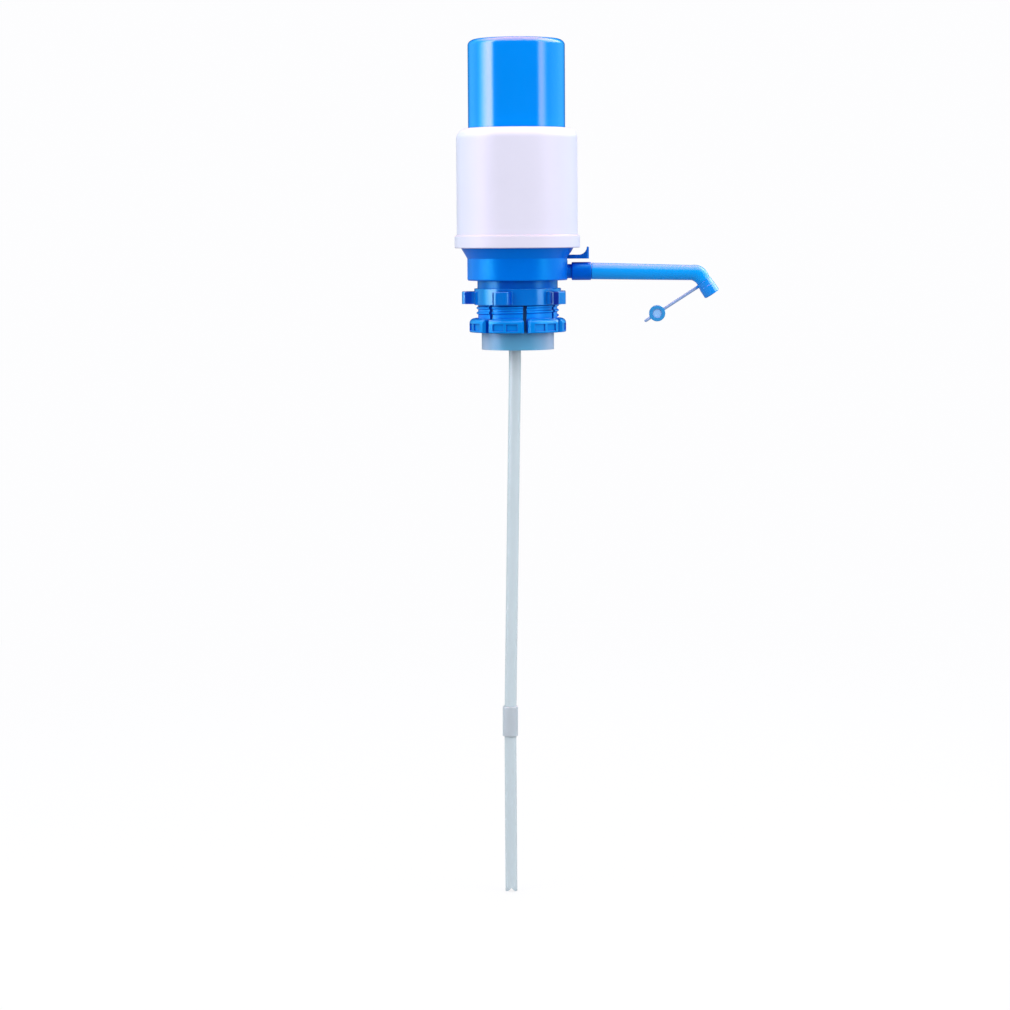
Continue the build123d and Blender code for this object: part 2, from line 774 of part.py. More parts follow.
with BuildPart() as dip_tube_lower:
    with BuildSketch(Plane.XY.offset(tube_foot_z)):
        with Locations((lower_tube_x, 0)):
            Circle(tube_r)
    extrude(amount=coupler_foot_z - tube_foot_z)
    with BuildSketch(Plane.XY.offset(coupler_foot_z)):
        with Locations((lower_tube_x, 0)):
            Circle(tube_r - coupler_fit)
    extrude(amount=tube_joint_z - stop_gap - coupler_foot_z)
    with BuildSketch(Plane.XY.offset(tube_foot_z)):
        with Locations((lower_tube_x, 0)):
            Circle(tube_bore)
    extrude(amount=tube_joint_z - tube_foot_z, mode=Mode.SUBTRACT)
    # two notches, so that the foot can't seal itself on the bottle's floor
    with BuildSketch(Plane.XZ):
        with BuildLine():
            Polyline(
                (lower_tube_x - tube_notch, tube_foot_z),
                (lower_tube_x + tube_notch, tube_foot_z),
                (lower_tube_x, tube_foot_z + tube_notch),
                close=True,
            )
        make_face()
    extrude(amount=2 * tube_r, both=True, mode=Mode.SUBTRACT)
write(dip_tube_lower.part, "dip_tube_lower")

half_lean = radians(tube_lean / 2)
coupler_plane = Plane(
    (lower_tube_x, 0, tube_joint_z), x_dir=(0, 1, 0), z_dir=(sin(half_lean), 0, cos(half_lean))
)
with BuildPart() as tube_coupler:
    with BuildSketch(coupler_plane):
        Circle(tube_r + coupler_gap + coupler_wall)
        Circle(tube_r + coupler_gap, mode=Mode.SUBTRACT)
    extrude(amount=coupler_length / 2, both=True)
    fillet(
        tube_coupler.edges()
        .filter_by(GeomType.CIRCLE)
        .filter_by(lambda e: e.radius > tube_r + coupler_wall),
        small_round,
    )
write(tube_coupler.part, "tube_coupler")

# ---- release lever, its pin, pad and spring ----
lever_top = lever_z + lever_thick
lever_crest = lever_top + lever_tip_rise
lever_rise_x = lever_tip_x - lever_tip_thick - lever_tip_rise

with BuildPart() as release_lever:
    with BuildSketch(Plane.XZ.offset(-lever_width / 2)):
        with BuildLine():
            Line((lever_tail_x, lever_z), (lever_tip_x, lever_z))
            Line((lever_tip_x, lever_z), (lever_tip_x, lever_crest))
            Line((lever_tip_x, lever_crest), (lever_tip_x - lever_tip_thick, lever_crest))
            TangentArc(
                (lever_rise_x, lever_top),
                (lever_tip_x - lever_tip_thick, lever_crest),
                tangent=(1, 0),
            )
            Line((lever_rise_x, lever_top), (lever_tail_x, lever_top))
            Line((lever_tail_x, lever_top), (lever_tail_x, lever_z))
        make_face()
        with Locations((lever_pivot_x, pivot_z)):
            Circle(lever_hub_r)
    extrude(amount=lever_width)
    fillet(release_lever.edges().filter_by(Axis.Z).sort_by(Axis.X)[-2:], lever_corner)
    fillet(release_lever.edges().filter_by(Axis.Y).sort_by(Axis.Z)[-2:], small_round)
    with Locations(Location((lever_pivot_x, 0, pivot_z), (90, 0, 0))):
        Cylinder(pin_r + turn_gap, 2 * lever_width, mode=Mode.SUBTRACT)
    add(disc(stub_r, stub_rise, lever_spring_x, lever_top))
write(release_lever.part, "release_lever")

with BuildPart() as lever_pin:
    with BuildSketch(Plane.XZ.offset(-window_half - ear_thick - pin_show)):
        with Locations((lever_pivot_x, pivot_z)):
            Circle(pin_r)
    extrude(amount=2 * (window_half + ear_thick + pin_show))
    chamfer(lever_pin.edges().filter_by(GeomType.CIRCLE), pin_show)
write(lever_pin.part, "lever_pin")

with BuildPart() as vent_seal:
    add(disc(vent_seal_r, lever_z - nozzle_top, vent_x, nozzle_top))
write(vent_seal.part, "vent_seal")

write(
    coil(lever_spring_x, lever_top, deck_z, lever_spring_r, lever_spring_wire, lever_spring_turns),
    "lever_spring",
)

# ---- rubber valves on the deck ----
write(umbrella(intake_x, deck_top, intake_lip_r, True), "intake_valve")
write(umbrella(0, deck_z, outlet_lip_r, False), "outlet_valve")

# ---- bellows ----
fold_pitch = (bellows_top - bellows_wall - clamp_z) / bellows_folds
crests = [(bellows_r, clamp_z + (i + 0.5) * fold_pitch) for i in range(bellows_folds)]
roots = [(bellows_root_r, clamp_z + i * fold_pitch) for i in range(bellows_folds + 1)]
outside = [roots[0]]
for crest, root in zip(crests, roots[1:]):
    outside += [crest, root]
inside = [(r - bellows_wall, z) for r, z in reversed(outside)]

with BuildPart() as bellows:
    with BuildSketch(Plane.XZ):
        with BuildLine():
            Polyline(
                (fold_bore, deck_top),
                (bellows_flange_r, deck_top),
                (bellows_flange_r, clamp_z),
                *outside,
                (bellows_root_r, bellows_top),
                (0, bellows_top),
                (0, bellows_top - bellows_wall),
                *inside,
                close=True,
            )
        make_face()
    revolve(axis=Axis.Z)
    with BuildSketch(Plane.XY.offset(deck_top)):
        with PolarLocations(clamp_screw_circle, clamp_screw_count, start_angle=clamp_screw_turn):
            Circle(screw_r + stop_gap)
    extrude(amount=bellows_flange, mode=Mode.SUBTRACT)
write(bellows.part, "bellows")

with BuildPart() as bellows_clamp_ring:
    with BuildSketch(Plane.XY.offset(clamp_z)):
        Circle(clamp_r)
        Circle(clamp_inner_r, mode=Mode.SUBTRACT)
        with PolarLocations(clamp_screw_circle, clamp_screw_count, start_angle=clamp_screw_turn):
            Circle(screw_r + stop_gap, mode=Mode.SUBTRACT)
    extrude(amount=clamp_thick)
write(bellows_clamp_ring.part, "bellows_clamp_ring")

with BuildPart() as clamp_screws:
    with BuildSketch(Plane.XY.offset(clamp_top - screw_length)):
        with PolarLocations(clamp_screw_circle, clamp_screw_count, start_angle=clamp_screw_turn):
            Circle(screw_r)
    extrude(amount=screw_length)
    with BuildSketch(Plane.XY.offset(clamp_top)):
        with PolarLocations(clamp_screw_circle, clamp_screw_count, start_angle=clamp_screw_turn):
            Circle(screw_head_r)
    extrude(amount=screw_head)
    with BuildSketch(Plane.XY.offset(clamp_top + screw_head)):
        with PolarLocations(clamp_screw_circle, clamp_screw_count, start_angle=clamp_screw_turn):
            Rectangle(screw_cross, screw_slot)
            Rectangle(screw_slot, screw_cross)
    extrude(amount=-screw_head / 2, mode=Mode.SUBTRACT)
write(clamp_screws.part, "clamp_screws")

# ---- return spring and the plate over it ----
write(coil(0, deck_top, plate_z, spring_r, spring_wire, spring_turns), "return_spring")

with BuildPart() as spring_plate:
    with BuildSketch(Plane.XY.offset(plate_z)):
        Circle(fold_bore - 2 * small_chamfer)
    extrude(amount=spring_plate_thick)
    with BuildSketch(Plane.XY.offset(plate_z)):
        Circle(spring_seat_r)
        Circle(spring_seat_r - spring_seat_wall, mode=Mode.SUBTRACT)
    extrude(amount=-spring_seat_height)
write(spring_plate.part, "spring_plate")

# ---- outer shell ----
shell_step_z = rim_top + seat_gap
shoulder_z = shell_top - shell_shoulder

with BuildPart() as outer_shell:
    with BuildSketch(Plane.XZ):
        with BuildLine():
            Polyline(
                (shell_bore, shoulder_z),
                (shell_bore, shell_step_z),
                (shell_mouth, shell_step_z),
                (shell_mouth, snap_z + snap_height + stop_gap),
                (shell_mouth + snap_rise, snap_z + snap_height + stop_gap),
                (shell_mouth + snap_rise, snap_z - stop_gap),
                (shell_mouth, snap_z - stop_gap),
                (shell_mouth, deck_z),
                (shell_rim_r - small_chamfer, deck_z),
                (shell_rim_r, deck_z + small_chamfer),
                (shell_rim_r, deck_z + shell_rim_height),
                (shell_r, deck_z + shell_rim_height + shell_rim_step),
                (shell_r, shoulder_z),
            )
            RadiusArc((shell_r, shoulder_z), (shell_r - shell_shoulder, shell_top), -shell_shoulder)
            Polyline(
                (shell_r - shell_shoulder, shell_top),
                (cap_mouth, shell_top),
                (cap_mouth, shell_top - shell_wall),
                (shell_r - shell_shoulder, shell_top - shell_wall),
            )
            RadiusArc(
                (shell_r - shell_shoulder, shell_top - shell_wall),
                (shell_bore, shoulder_z),
                shell_shoulder - shell_wall,
            )
        make_face()
    revolve(axis=Axis.Z)
write(outer_shell.part, "outer_shell")

# ---- push cap ----
cap_edge_z = cap_top - cap_dome - cap_round_z
slope_z = flange_top - cap_flange_slope
foot_z = slope_z - cap_flange_land
flange_lip = cap_r + cap_flange_neck

with BuildPart() as push_cap:
    with BuildSketch(Plane.XZ):
        with BuildLine():
            Polyline(
                (0, cap_top),
                (0, crown_z),
                (cap_bore - cap_round_x, crown_z),
            )
            EllipticalCenterArc(
                (cap_bore - cap_round_x, crown_z - cap_round_z),
                cap_round_x,
                cap_round_z,
                start_angle=0,
                arc_size=90,
            )
            Polyline(
                (cap_bore, crown_z - cap_round_z),
                (cap_bore, flange_top),
                (cap_flange_r - cap_wall, foot_z),
                (cap_flange_r, foot_z),
                (cap_flange_r, slope_z),
                (flange_lip, flange_top),
                (cap_r, flange_top),
                (cap_r, cap_edge_z),
            )
            EllipticalCenterArc(
                (cap_r - cap_round_x, cap_edge_z),
                cap_round_x,
                cap_round_z,
                start_angle=0,
                arc_size=90,
            )
            TangentArc((0, cap_top), (cap_r - cap_round_x, cap_top - cap_dome), tangent=(1, 0))
        make_face()
    revolve(axis=Axis.Z)
write(push_cap.part, "push_cap")

# ---- spout ----
spout_start = Vector(spout_x + stop_gap, 0, spout_z)
spout_dir = (corner - spout_start).normalized()
droop = degrees(atan2(-spout_dir.Z, spout_dir.X))
bend_turn = leg_angle - droop
bend_reach = bend_r * tan(radians(bend_turn / 2))
bend_start = corner - spout_dir * bend_reach
bend_end = corner + leg_dir * bend_reach
bisector = Vector(
    cos(radians((leg_angle + droop) / 2)), 0, -sin(radians((leg_angle + droop) / 2))
)
outward = Vector(-bisector.Z, 0, bisector.X)
bend_middle = corner - outward * (bend_r / cos(radians(bend_turn / 2)) - bend_r)
spigot_start = spigot_x + stop_gap
bore_start = spout_start + spout_dir * bore_lead
bore_end = tip + leg_dir
y_dir = (0, 1, 0)

with BuildPart() as spout:
    with BuildSketch(Plane(spout_start, x_dir=y_dir, z_dir=spout_dir)):
        Circle(spout_root_r)
    with BuildSketch(Plane(bend_start, x_dir=y_dir, z_dir=spout_dir)):
        Circle(spout_end_r)
    loft()
    fillet(spout.edges().sort_by(Axis.X)[0], small_round)
    with BuildLine() as bend_path:
        ThreePointArc(bend_start, bend_middle, bend_end)
    with BuildSketch(Plane(bend_start, x_dir=y_dir, z_dir=spout_dir)):
        Circle(spout_end_r)
    with BuildSketch(Plane(bend_middle + outward * bend_swell / 2, x_dir=y_dir, z_dir=bisector)):
        Ellipse(spout_end_r, spout_end_r + bend_swell)
    with BuildSketch(Plane(bend_end, x_dir=y_dir, z_dir=leg_dir)):
        Circle(spout_end_r)
    sweep(path=bend_path.line, multisection=True)
    with BuildSketch(Plane(bend_end, x_dir=y_dir, z_dir=leg_dir)):
        Circle(spout_end_r)
    with BuildSketch(Plane(bend_end + leg_dir * leg_taper, x_dir=y_dir, z_dir=leg_dir)):
        Circle(spout_leg_r)
    loft()
    with BuildSketch(Plane(bend_end + leg_dir * leg_taper, x_dir=y_dir, z_dir=leg_dir)):
        Circle(spout_leg_r)
    extrude(amount=leg_length - bend_reach - leg_taper)
    # spigot that plugs into the socket, with two seal grooves
    with BuildSketch(Plane.YZ.offset(spigot_start)):
        with Locations((0, spout_z)):
            Circle(spigot_r)
    extrude(amount=spout_x - spigot_start + bore_lead / 2)
    for n in range(2):
        groove_x = spigot_start + oring_inset + n * oring_pitch - oring_r - seat_gap
        with BuildSketch(Plane.YZ.offset(groove_x)):
            with Locations((0, spout_z)):
                Circle(spigot_r + merge)
                Circle(spigot_r - oring_groove, mode=Mode.SUBTRACT)
        extrude(amount=2 * (oring_r + seat_gap), mode=Mode.SUBTRACT)
    # the water's way through
    with BuildSketch(Plane.YZ.offset(spigot_start)):
        with Locations((0, spout_z)):
            Circle(water_r)
    extrude(amount=spout_x - spigot_start + 1.5 * bore_lead, mode=Mode.SUBTRACT)
    with BuildLine(Plane.XZ) as water_path:
        FilletPolyline(
            (bore_start.X, bore_start.Z),
            (corner.X, corner.Z),
            (bore_end.X, bore_end.Z),
            radius=bend_r,
        )
    with BuildSketch(Plane(water_path.line @ 0, z_dir=water_path.line % 0)):
        Circle(spout_bore)
    sweep(path=water_path.line, mode=Mode.SUBTRACT)
write(spout.part, "spout")

with BuildPart() as spout_orings:
    for n in range(2):
        ring_x = spigot_start + oring_inset + n * oring_pitch
        with Locations(Location((ring_x, 0, spout_z), (0, 90, 0))):
            Torus(spigot_r - oring_groove + oring_r + seal_gap, oring_r)
write(spout_orings.part, "spout_orings")

# ---- plug tether: sleeve on the leg, strap and dust plug ----
sleeve_start = tip - leg_dir * sleeve_inset
sleeve_plane = Plane(sleeve_start, x_dir=side_dir, z_dir=leg_dir * -1)
strap_root = tip - leg_dir * (sleeve_inset + sleeve_length - strap_inset)
strap_dir = Vector(-cos(radians(strap_angle)), 0, -sin(radians(strap_angle)))
sleeve_bore = spout_leg_r + turn_gap
sleeve_r = sleeve_bore + sleeve_wall
root_reach = sleeve_bore + sleeve_wall / 2
rim_reach = plug_r - plug_rim_overlap
plug_centre = strap_root + strap_dir * plug_distance
plug_face = Plane(plug_centre - Vector(0, plug_rim / 2, 0), x_dir=(1, 0, 0), z_dir=y_dir)
plug_stub_r = spout_bore - plug_fit
tab_length = plug_tab + plug_rim_overlap - strap_r

with BuildPart() as plug_tether:
    # plug: a rim with a dish in front and a hollow stub behind
    with BuildSketch(plug_face):
        Circle(plug_r)
    extrude(amount=plug_rim)
    fillet(plug_tether.edges().filter_by(GeomType.CIRCLE), small_round)
    with BuildSketch(plug_face):
        Circle(plug_stub_r)
    extrude(amount=plug_rim + plug_stub_length)
    chamfer(plug_tether.edges().sort_by(Axis.Y)[-1], plug_stub_wall / 2)
    with BuildSketch(plug_face):
        Circle(plug_dish_r)
    extrude(amount=plug_dish, mode=Mode.SUBTRACT)
    with BuildSketch(plug_face.offset(plug_dish + plug_web)):
        Circle(plug_stub_r - plug_stub_wall)
    extrude(amount=plug_rim + plug_stub_length, mode=Mode.SUBTRACT)
    # sleeve round the spout's leg
    with BuildSketch(sleeve_plane):
        Circle(sleeve_r)
    extrude(amount=sleeve_length)
    with BuildSketch(sleeve_plane):
        Circle(sleeve_r + sleeve_step)
    extrude(amount=sleeve_foot)
    fillet(
        plug_tether.edges()
        .filter_by(GeomType.CIRCLE)
        .filter_by(lambda e: abs(e.radius - sleeve_r - sleeve_step) < 0.01)
        .sort_by(Axis.Z)[0],
        small_round,
    )
    with BuildSketch(sleeve_plane):
        Circle(sleeve_bore)
    extrude(amount=sleeve_length, mode=Mode.SUBTRACT)
    # strap from the sleeve to the plug, and a tab past the plug
    with BuildSketch(Plane(strap_root + strap_dir * root_reach, x_dir=y_dir, z_dir=strap_dir)):
        Circle(strap_r)
    extrude(amount=plug_distance - rim_reach - root_reach)
    with BuildSketch(Plane(plug_centre + strap_dir * rim_reach, x_dir=y_dir, z_dir=strap_dir)):
        Circle(strap_r)
    extrude(amount=tab_length)
    with Locations(plug_centre + strap_dir * (rim_reach + tab_length)):
        Sphere(strap_r)
write(plug_tether.part, "plug_tether")
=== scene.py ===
from math import cos, pi, radians, sin
import bmesh
import bpy
import numpy as np
from mathutils import Matrix, Vector


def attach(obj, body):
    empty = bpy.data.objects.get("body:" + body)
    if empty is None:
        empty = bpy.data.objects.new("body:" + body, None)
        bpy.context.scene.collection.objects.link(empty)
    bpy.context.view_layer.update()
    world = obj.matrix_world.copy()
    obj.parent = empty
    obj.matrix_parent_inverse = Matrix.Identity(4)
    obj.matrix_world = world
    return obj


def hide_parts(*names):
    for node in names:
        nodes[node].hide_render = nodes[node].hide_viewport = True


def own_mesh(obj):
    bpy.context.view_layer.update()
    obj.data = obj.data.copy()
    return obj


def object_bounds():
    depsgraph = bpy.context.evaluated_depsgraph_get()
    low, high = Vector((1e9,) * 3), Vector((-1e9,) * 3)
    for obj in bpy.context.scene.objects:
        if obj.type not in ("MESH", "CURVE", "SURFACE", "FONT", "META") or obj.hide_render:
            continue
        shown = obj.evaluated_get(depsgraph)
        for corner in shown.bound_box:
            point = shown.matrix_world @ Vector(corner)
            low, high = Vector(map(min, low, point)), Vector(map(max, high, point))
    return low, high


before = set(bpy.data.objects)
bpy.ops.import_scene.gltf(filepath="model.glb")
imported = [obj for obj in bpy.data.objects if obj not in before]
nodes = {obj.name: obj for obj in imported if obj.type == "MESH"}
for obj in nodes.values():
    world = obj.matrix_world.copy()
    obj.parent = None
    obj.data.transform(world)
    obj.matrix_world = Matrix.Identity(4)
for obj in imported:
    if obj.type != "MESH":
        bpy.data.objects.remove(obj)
cadBox = [list(corner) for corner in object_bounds()]
scene = bpy.context.scene
scene.view_settings.view_transform = "Standard"
print("frame loaded:", len(nodes), "nodes")


# Camera: level with the shell's rim, a long way off, tipped down a little. Angles are in degrees, the lens
# and its sensor in millimetres, and everything else here and below is in metres.

cameraSetup = {
    "lens": 98.4,
    "sensor": 36,
    "away": 2.18,
    "side": -0.0110,
    "height": 0.0902,
    "pitch": 5.6,
    "roll": -0.37,
    "farthest": 50,
}


def placeCamera(setup):
    data = bpy.data.cameras.new("camera")
    data.lens = setup["lens"]
    data.sensor_width = setup["sensor"]
    data.clip_end = setup["farthest"]
    camera = bpy.data.objects.new("camera", data)
    scene.collection.objects.link(camera)
    place = Matrix.Translation((setup["side"], -setup["away"], setup["height"]))
    tip = Matrix.Rotation(radians(90 - setup["pitch"]), 4, "X")
    roll = Matrix.Rotation(radians(setup["roll"]), 4, "Z")
    camera.matrix_world = place @ tip @ roll
    scene.camera = camera


placeCamera(cameraSetup)
print("camera placed")


# Small helpers for shader nodes, used by the studio and by every finish.


def setInputs(tree, node, inputs):
    # a socket that is given another node's output is linked to it, and any other takes the value
    for socket, value in inputs.items():
        if isinstance(value, bpy.types.NodeSocket):
            tree.links.new(value, node.inputs[socket])
        else:
            node.inputs[socket].default_value = value


def addNode(tree, kind, inputs=None, **settings):
    # one shader node: settings are its own fields
    node = tree.nodes.new("ShaderNode" + kind)
    for field, value in settings.items():
        setattr(node, field, value)
    setInputs(tree, node, inputs or {})
    return node


def calc(tree, operation, a, b=0.0, clamp=False):
    return addNode(tree, "Math", {0: a, 1: b}, operation=operation, use_clamp=clamp).outputs[0]


def vectorCalc(tree, operation, *values):
    return addNode(tree, "VectorMath", dict(enumerate(values)), operation=operation).outputs


def scaledColor(tree, color, level):
    return addNode(tree, "VectorMath", {0: color, "Scale": level}, operation="SCALE").outputs[0]


def blendColor(tree, factor, a, b):
    # the Mix node takes its two colours at sockets 6 and 7 and gives out the blend at 2
    return addNode(tree, "Mix", {0: factor, 6: a, 7: b}, data_type="RGBA").outputs[2]


def remap(tree, value, low, high, newLow=0.0, newHigh=1.0):
    # smooth step from one range to another
    ranges = {"Value": value, "From Min": low, "From Max": high, "To Min": newLow, "To Max": newHigh}
    return addNode(tree, "MapRange", ranges, interpolation_type="SMOOTHSTEP").outputs[0]


# Soft boxes light the matt side of every surface, and neither the camera nor a glossy surface sees them.
# Turn is from the camera's side towards +X, and power is in watts.

boxSetup = {
    "aimHeight": 0.10,
    "boxes": {
        "leftBox": {"turn": -58, "distance": 1.3, "height": 0.45, "size": (0.9, 1.4), "power": 6.8},
        "rightBox": {"turn": 64, "distance": 1.3, "height": 0.40, "size": (0.9, 1.4), "power": 7.6},
        "topBox": {"turn": 0, "distance": 0.12, "height": 1.35, "size": (1.2, 1.2), "power": 6.0},
        "rearBox": {"turn": 170, "distance": 1.5, "height": 0.50, "size": (1.2, 1.2), "power": 4.0},
    },
}


def softBox(name, spec, aimHeight):
    light = bpy.data.lights.new(name, "AREA")
    light.shape = "RECTANGLE"
    light.size, light.size_y = spec["size"]
    light.energy = spec["power"]
    lamp = bpy.data.objects.new(name, light)
    scene.collection.objects.link(lamp)
    turn = radians(spec["turn"])
    place = Vector((sin(turn), -cos(turn), 0)) * spec["distance"] + Vector((0, 0, spec["height"]))
    aim = Vector((0, 0, aimHeight)) - place
    lamp.matrix_world = Matrix.Translation(place) @ aim.to_track_quat("-Z", "Y").to_matrix().to_4x4()
    lamp.visible_camera = False
    lamp.visible_glossy = False


for boxName, boxSpec in boxSetup["boxes"].items():
    softBox(boxName, boxSpec, boxSetup["aimHeight"])
print("soft boxes placed")


# Room: an even, nearly white light for matt surfaces and a plain backdrop for the camera. What glossy
# surfaces mirror is worked out from the direction alone: turn as above, and rise above level. The four
# edges of a lamp in each are where it begins, is full, starts to fade and has gone.

backdropWhite = (0.985, 0.985, 0.995, 1)
tallRise = (-50, -30, 30, 60)

roomSetup = {
    "matt": {"front": 0.95, "rear": 1.15, "change": (-0.6, 0.6), "color": (0.98, 0.98, 1.0)},
    "lamps": {
        "leftLamp": {"turn": (-110, -69, -65, -51), "rise": tallRise, "color": (13.5, 10.0, 12.5)},
        "rightLamp": {"turn": (47, 59, 62, 84), "rise": tallRise, "color": (6.2, 4.6, 5.8)},
        "highRight": {"turn": (65, 85, 130, 150), "rise": (8, 22, 48, 66), "color": (6.5, 4.5, 5.6)},
        "overhead": {"turn": (-200, -190, 190, 200), "rise": (22, 62, 95, 100), "color": (9.5, 2.4, 2.1)},
    },
    "wall": {"turn": (50, 100, 118, 170), "level": 1.6, "color": (0.26, 0.98, 1.12)},
}


def lampWindow(tree, value, edges):
    # 0 outside the outer two of four edges, 1 between the inner two, smooth in between
    rising = remap(tree, value, edges[0], edges[1])
    falling = remap(tree, value, edges[3], edges[2])
    return calc(tree, "MULTIPLY", rising, falling)


def mirroredRoom(tree, setup):
    # what glossy surfaces see: dark in front, a tall lamp to each side, a high one on the right, one
    # overhead, and a blue-green wall to both sides; a lamp's red fades sooner than the rest, so its border
    # is cooler
    place = addNode(tree, "TexCoord").outputs["Generated"]
    axes = addNode(tree, "SeparateXYZ", {0: place}).outputs
    ahead = calc(tree, "MULTIPLY", axes["Y"], -1.0)
    turn = calc(tree, "DEGREES", calc(tree, "ARCTAN2", axes["X"], ahead))
    rise = calc(tree, "DEGREES", calc(tree, "ARCSINE", axes["Z"]))
    wall = setup["wall"]
    aside = calc(tree, "ABSOLUTE", turn)
    level = calc(tree, "MULTIPLY", lampWindow(tree, aside, wall["turn"]), wall["level"])
    seen = scaledColor(tree, wall["color"], level)
    for lamp in setup["lamps"].values():
        inTurn = lampWindow(tree, turn, lamp["turn"])
        inRise = lampWindow(tree, rise, lamp["rise"])
        window = calc(tree, "MULTIPLY", inTurn, inRise)
        red = calc(tree, "MULTIPLY", window, window)
        fade = addNode(tree, "CombineXYZ", {0: red, 1: window, 2: window}).outputs[0]
        seen = vectorCalc(tree, "MULTIPLY_ADD", fade, lamp["color"], seen)[0]
    return seen, axes["Y"]


def straightRay(tree):
    # 1 for what the camera sees directly or through a clear piece
    ray = addNode(tree, "LightPath").outputs
    return calc(tree, "MAXIMUM", ray["Is Camera Ray"], ray["Is Transmission Ray"])


def lightRoom(setup):
    world = bpy.data.worlds.new("room")
    scene.world = world
    world.use_nodes = True
    tree = world.node_tree
    tree.nodes.clear()
    mirrored, depth = mirroredRoom(tree, setup)
    matt = setup["matt"]
    level = remap(tree, depth, *matt["change"], matt["front"], matt["rear"])
    even = scaledColor(tree, matt["color"], level)
    glossy = addNode(tree, "LightPath").outputs["Is Glossy Ray"]
    color = blendColor(tree, glossy, even, mirrored)
    color = blendColor(tree, straightRay(tree), color, backdropWhite)
    glow = addNode(tree, "Background", {"Color": color, "Strength": 1.0})
    addNode(tree, "OutputWorld", {0: glow.outputs[0]})


lightRoom(roomSetup)
print("room ready")


# Floor: pale, just under the pump's lowest point, and run out into the backdrop.

floorSetup = {
    "gap": 0.0002,
    "half": 14.0,
    "fade": (0.5, 1.6),
    "matt": (0.10, 0.10, 0.10),
    "glow": 0.87,
    "bounce": (0.29, 0.29, 0.30),
}


def paleFloor(setup):
    # the camera sees a little shadow on a nearly white ground, and other rays a plain grey one
    material = bpy.data.materials.new("paleFloor")
    material.use_nodes = True
    tree = material.node_tree
    tree.nodes.clear()
    away = vectorCalc(tree, "LENGTH", addNode(tree, "TexCoord").outputs["Object"])["Value"]
    matt = addNode(tree, "BsdfDiffuse", {"Color": (*setup["matt"], 1)})
    lift = addNode(tree, "Emission", {"Color": backdropWhite, "Strength": setup["glow"]})
    near = addNode(tree, "AddShader", {0: matt.outputs[0], 1: lift.outputs[0]})
    far = addNode(tree, "Emission", {"Color": backdropWhite, "Strength": 1.0})
    fade = remap(tree, away, *setup["fade"])
    shown = addNode(tree, "MixShader", {0: fade, 1: near.outputs[0], 2: far.outputs[0]})
    bounce = addNode(tree, "BsdfDiffuse", {"Color": (*setup["bounce"], 1)})
    both = addNode(tree, "MixShader", {0: straightRay(tree), 1: bounce.outputs[0], 2: shown.outputs[0]})
    addNode(tree, "OutputMaterial", {0: both.outputs[0]})
    return material


def layFloor(setup):
    half = setup["half"]
    z = cadBox[0][2] - setup["gap"]
    corners = [(-half, -half, z), (half, -half, z), (half, half, z), (-half, half, z)]
    mesh = bpy.data.meshes.new("floor")
    mesh.from_pydata(corners, [], [(0, 1, 2, 3)])
    mesh.materials.append(paleFloor(setup))
    floor = bpy.data.objects.new("floor", mesh)
    scene.collection.objects.link(floor)


layFloor(floorSetup)
print("floor laid")


# Effects that several finishes share, each a group with its own sockets. A range is where a mask begins and
# where it is full.


def startGroup(name, inSockets, outSockets):
    # a new group, with what it is given and what it has to put out
    group = bpy.data.node_groups.new(name, "ShaderNodeTree")
    for label, kind, value in inSockets:
        socket = group.interface.new_socket(label, in_out="INPUT", socket_type="NodeSocket" + kind)
        socket.default_value = value
    for label, kind in outSockets:
        group.interface.new_socket(label, in_out="OUTPUT", socket_type="NodeSocket" + kind)
    return group, group.nodes.new("NodeGroupInput").outputs, group.nodes.new("NodeGroupOutput").inputs


def useGroup(tree, group, inputs):
    return addNode(tree, "Group", inputs, node_tree=group).outputs


def objectPlace(tree):
    return addNode(tree, "TexCoord").outputs["Object"]


def noiseAt(tree, place, size, detail, roughness=0.5):
    # noise whose features are about size metres wide
    scale = calc(tree, "DIVIDE", 1.0, size) if isinstance(size, bpy.types.NodeSocket) else 1.0 / size
    values = {"Vector": place, "Scale": scale, "Detail": detail, "Roughness": roughness}
    return addNode(tree, "TexNoise", values).outputs["Fac"]


def makeMouldGrain():
    # height in metres: slow waves left by the mould plus a fine grain, each with its own amplitude
    ins = [
        ("Wave Size", "Float", 0.03),
        ("Wave Height", "Float", 3e-5),
        ("Grain Size", "Float", 0.0008),
        ("Grain Height", "Float", 2e-6),
    ]
    group, given, result = startGroup("mouldGrain", ins, [("Height", "Float")])
    place = objectPlace(group)
    wave = noiseAt(group, place, given["Wave Size"], detail=1.5, roughness=0.4)
    grain = noiseAt(group, place, given["Grain Size"], detail=2.0)
    high = calc(group, "MULTIPLY", wave, given["Wave Height"])
    fine = calc(group, "MULTIPLY", grain, given["Grain Height"])
    group.links.new(calc(group, "ADD", high, fine), result["Height"])
    return group


def makeToneDrift():
    # colour that wanders lighter and darker over the moulding: the noise runs from 0 to 1, and twice its
    # distance from the middle, times the amount, is the share that the colour's value changes by
    ins = [("Color", "Color", (0.5, 0.5, 0.5, 1)), ("Amount", "Float", 0.04), ("Size", "Float", 0.04)]
    group, given, result = startGroup("toneDrift", ins, [("Color", "Color")])
    drift = noiseAt(group, objectPlace(group), given["Size"], detail=2.0)
    swing = calc(group, "MULTIPLY", calc(group, "SUBTRACT", drift, 0.5), given["Amount"])
    value = calc(group, "ADD", 1.0, calc(group, "MULTIPLY", swing, 2.0))
    out = addNode(group, "HueSaturation", {"Value": value, "Color": given["Color"]})
    group.links.new(out.outputs[0], result["Color"])
    return group


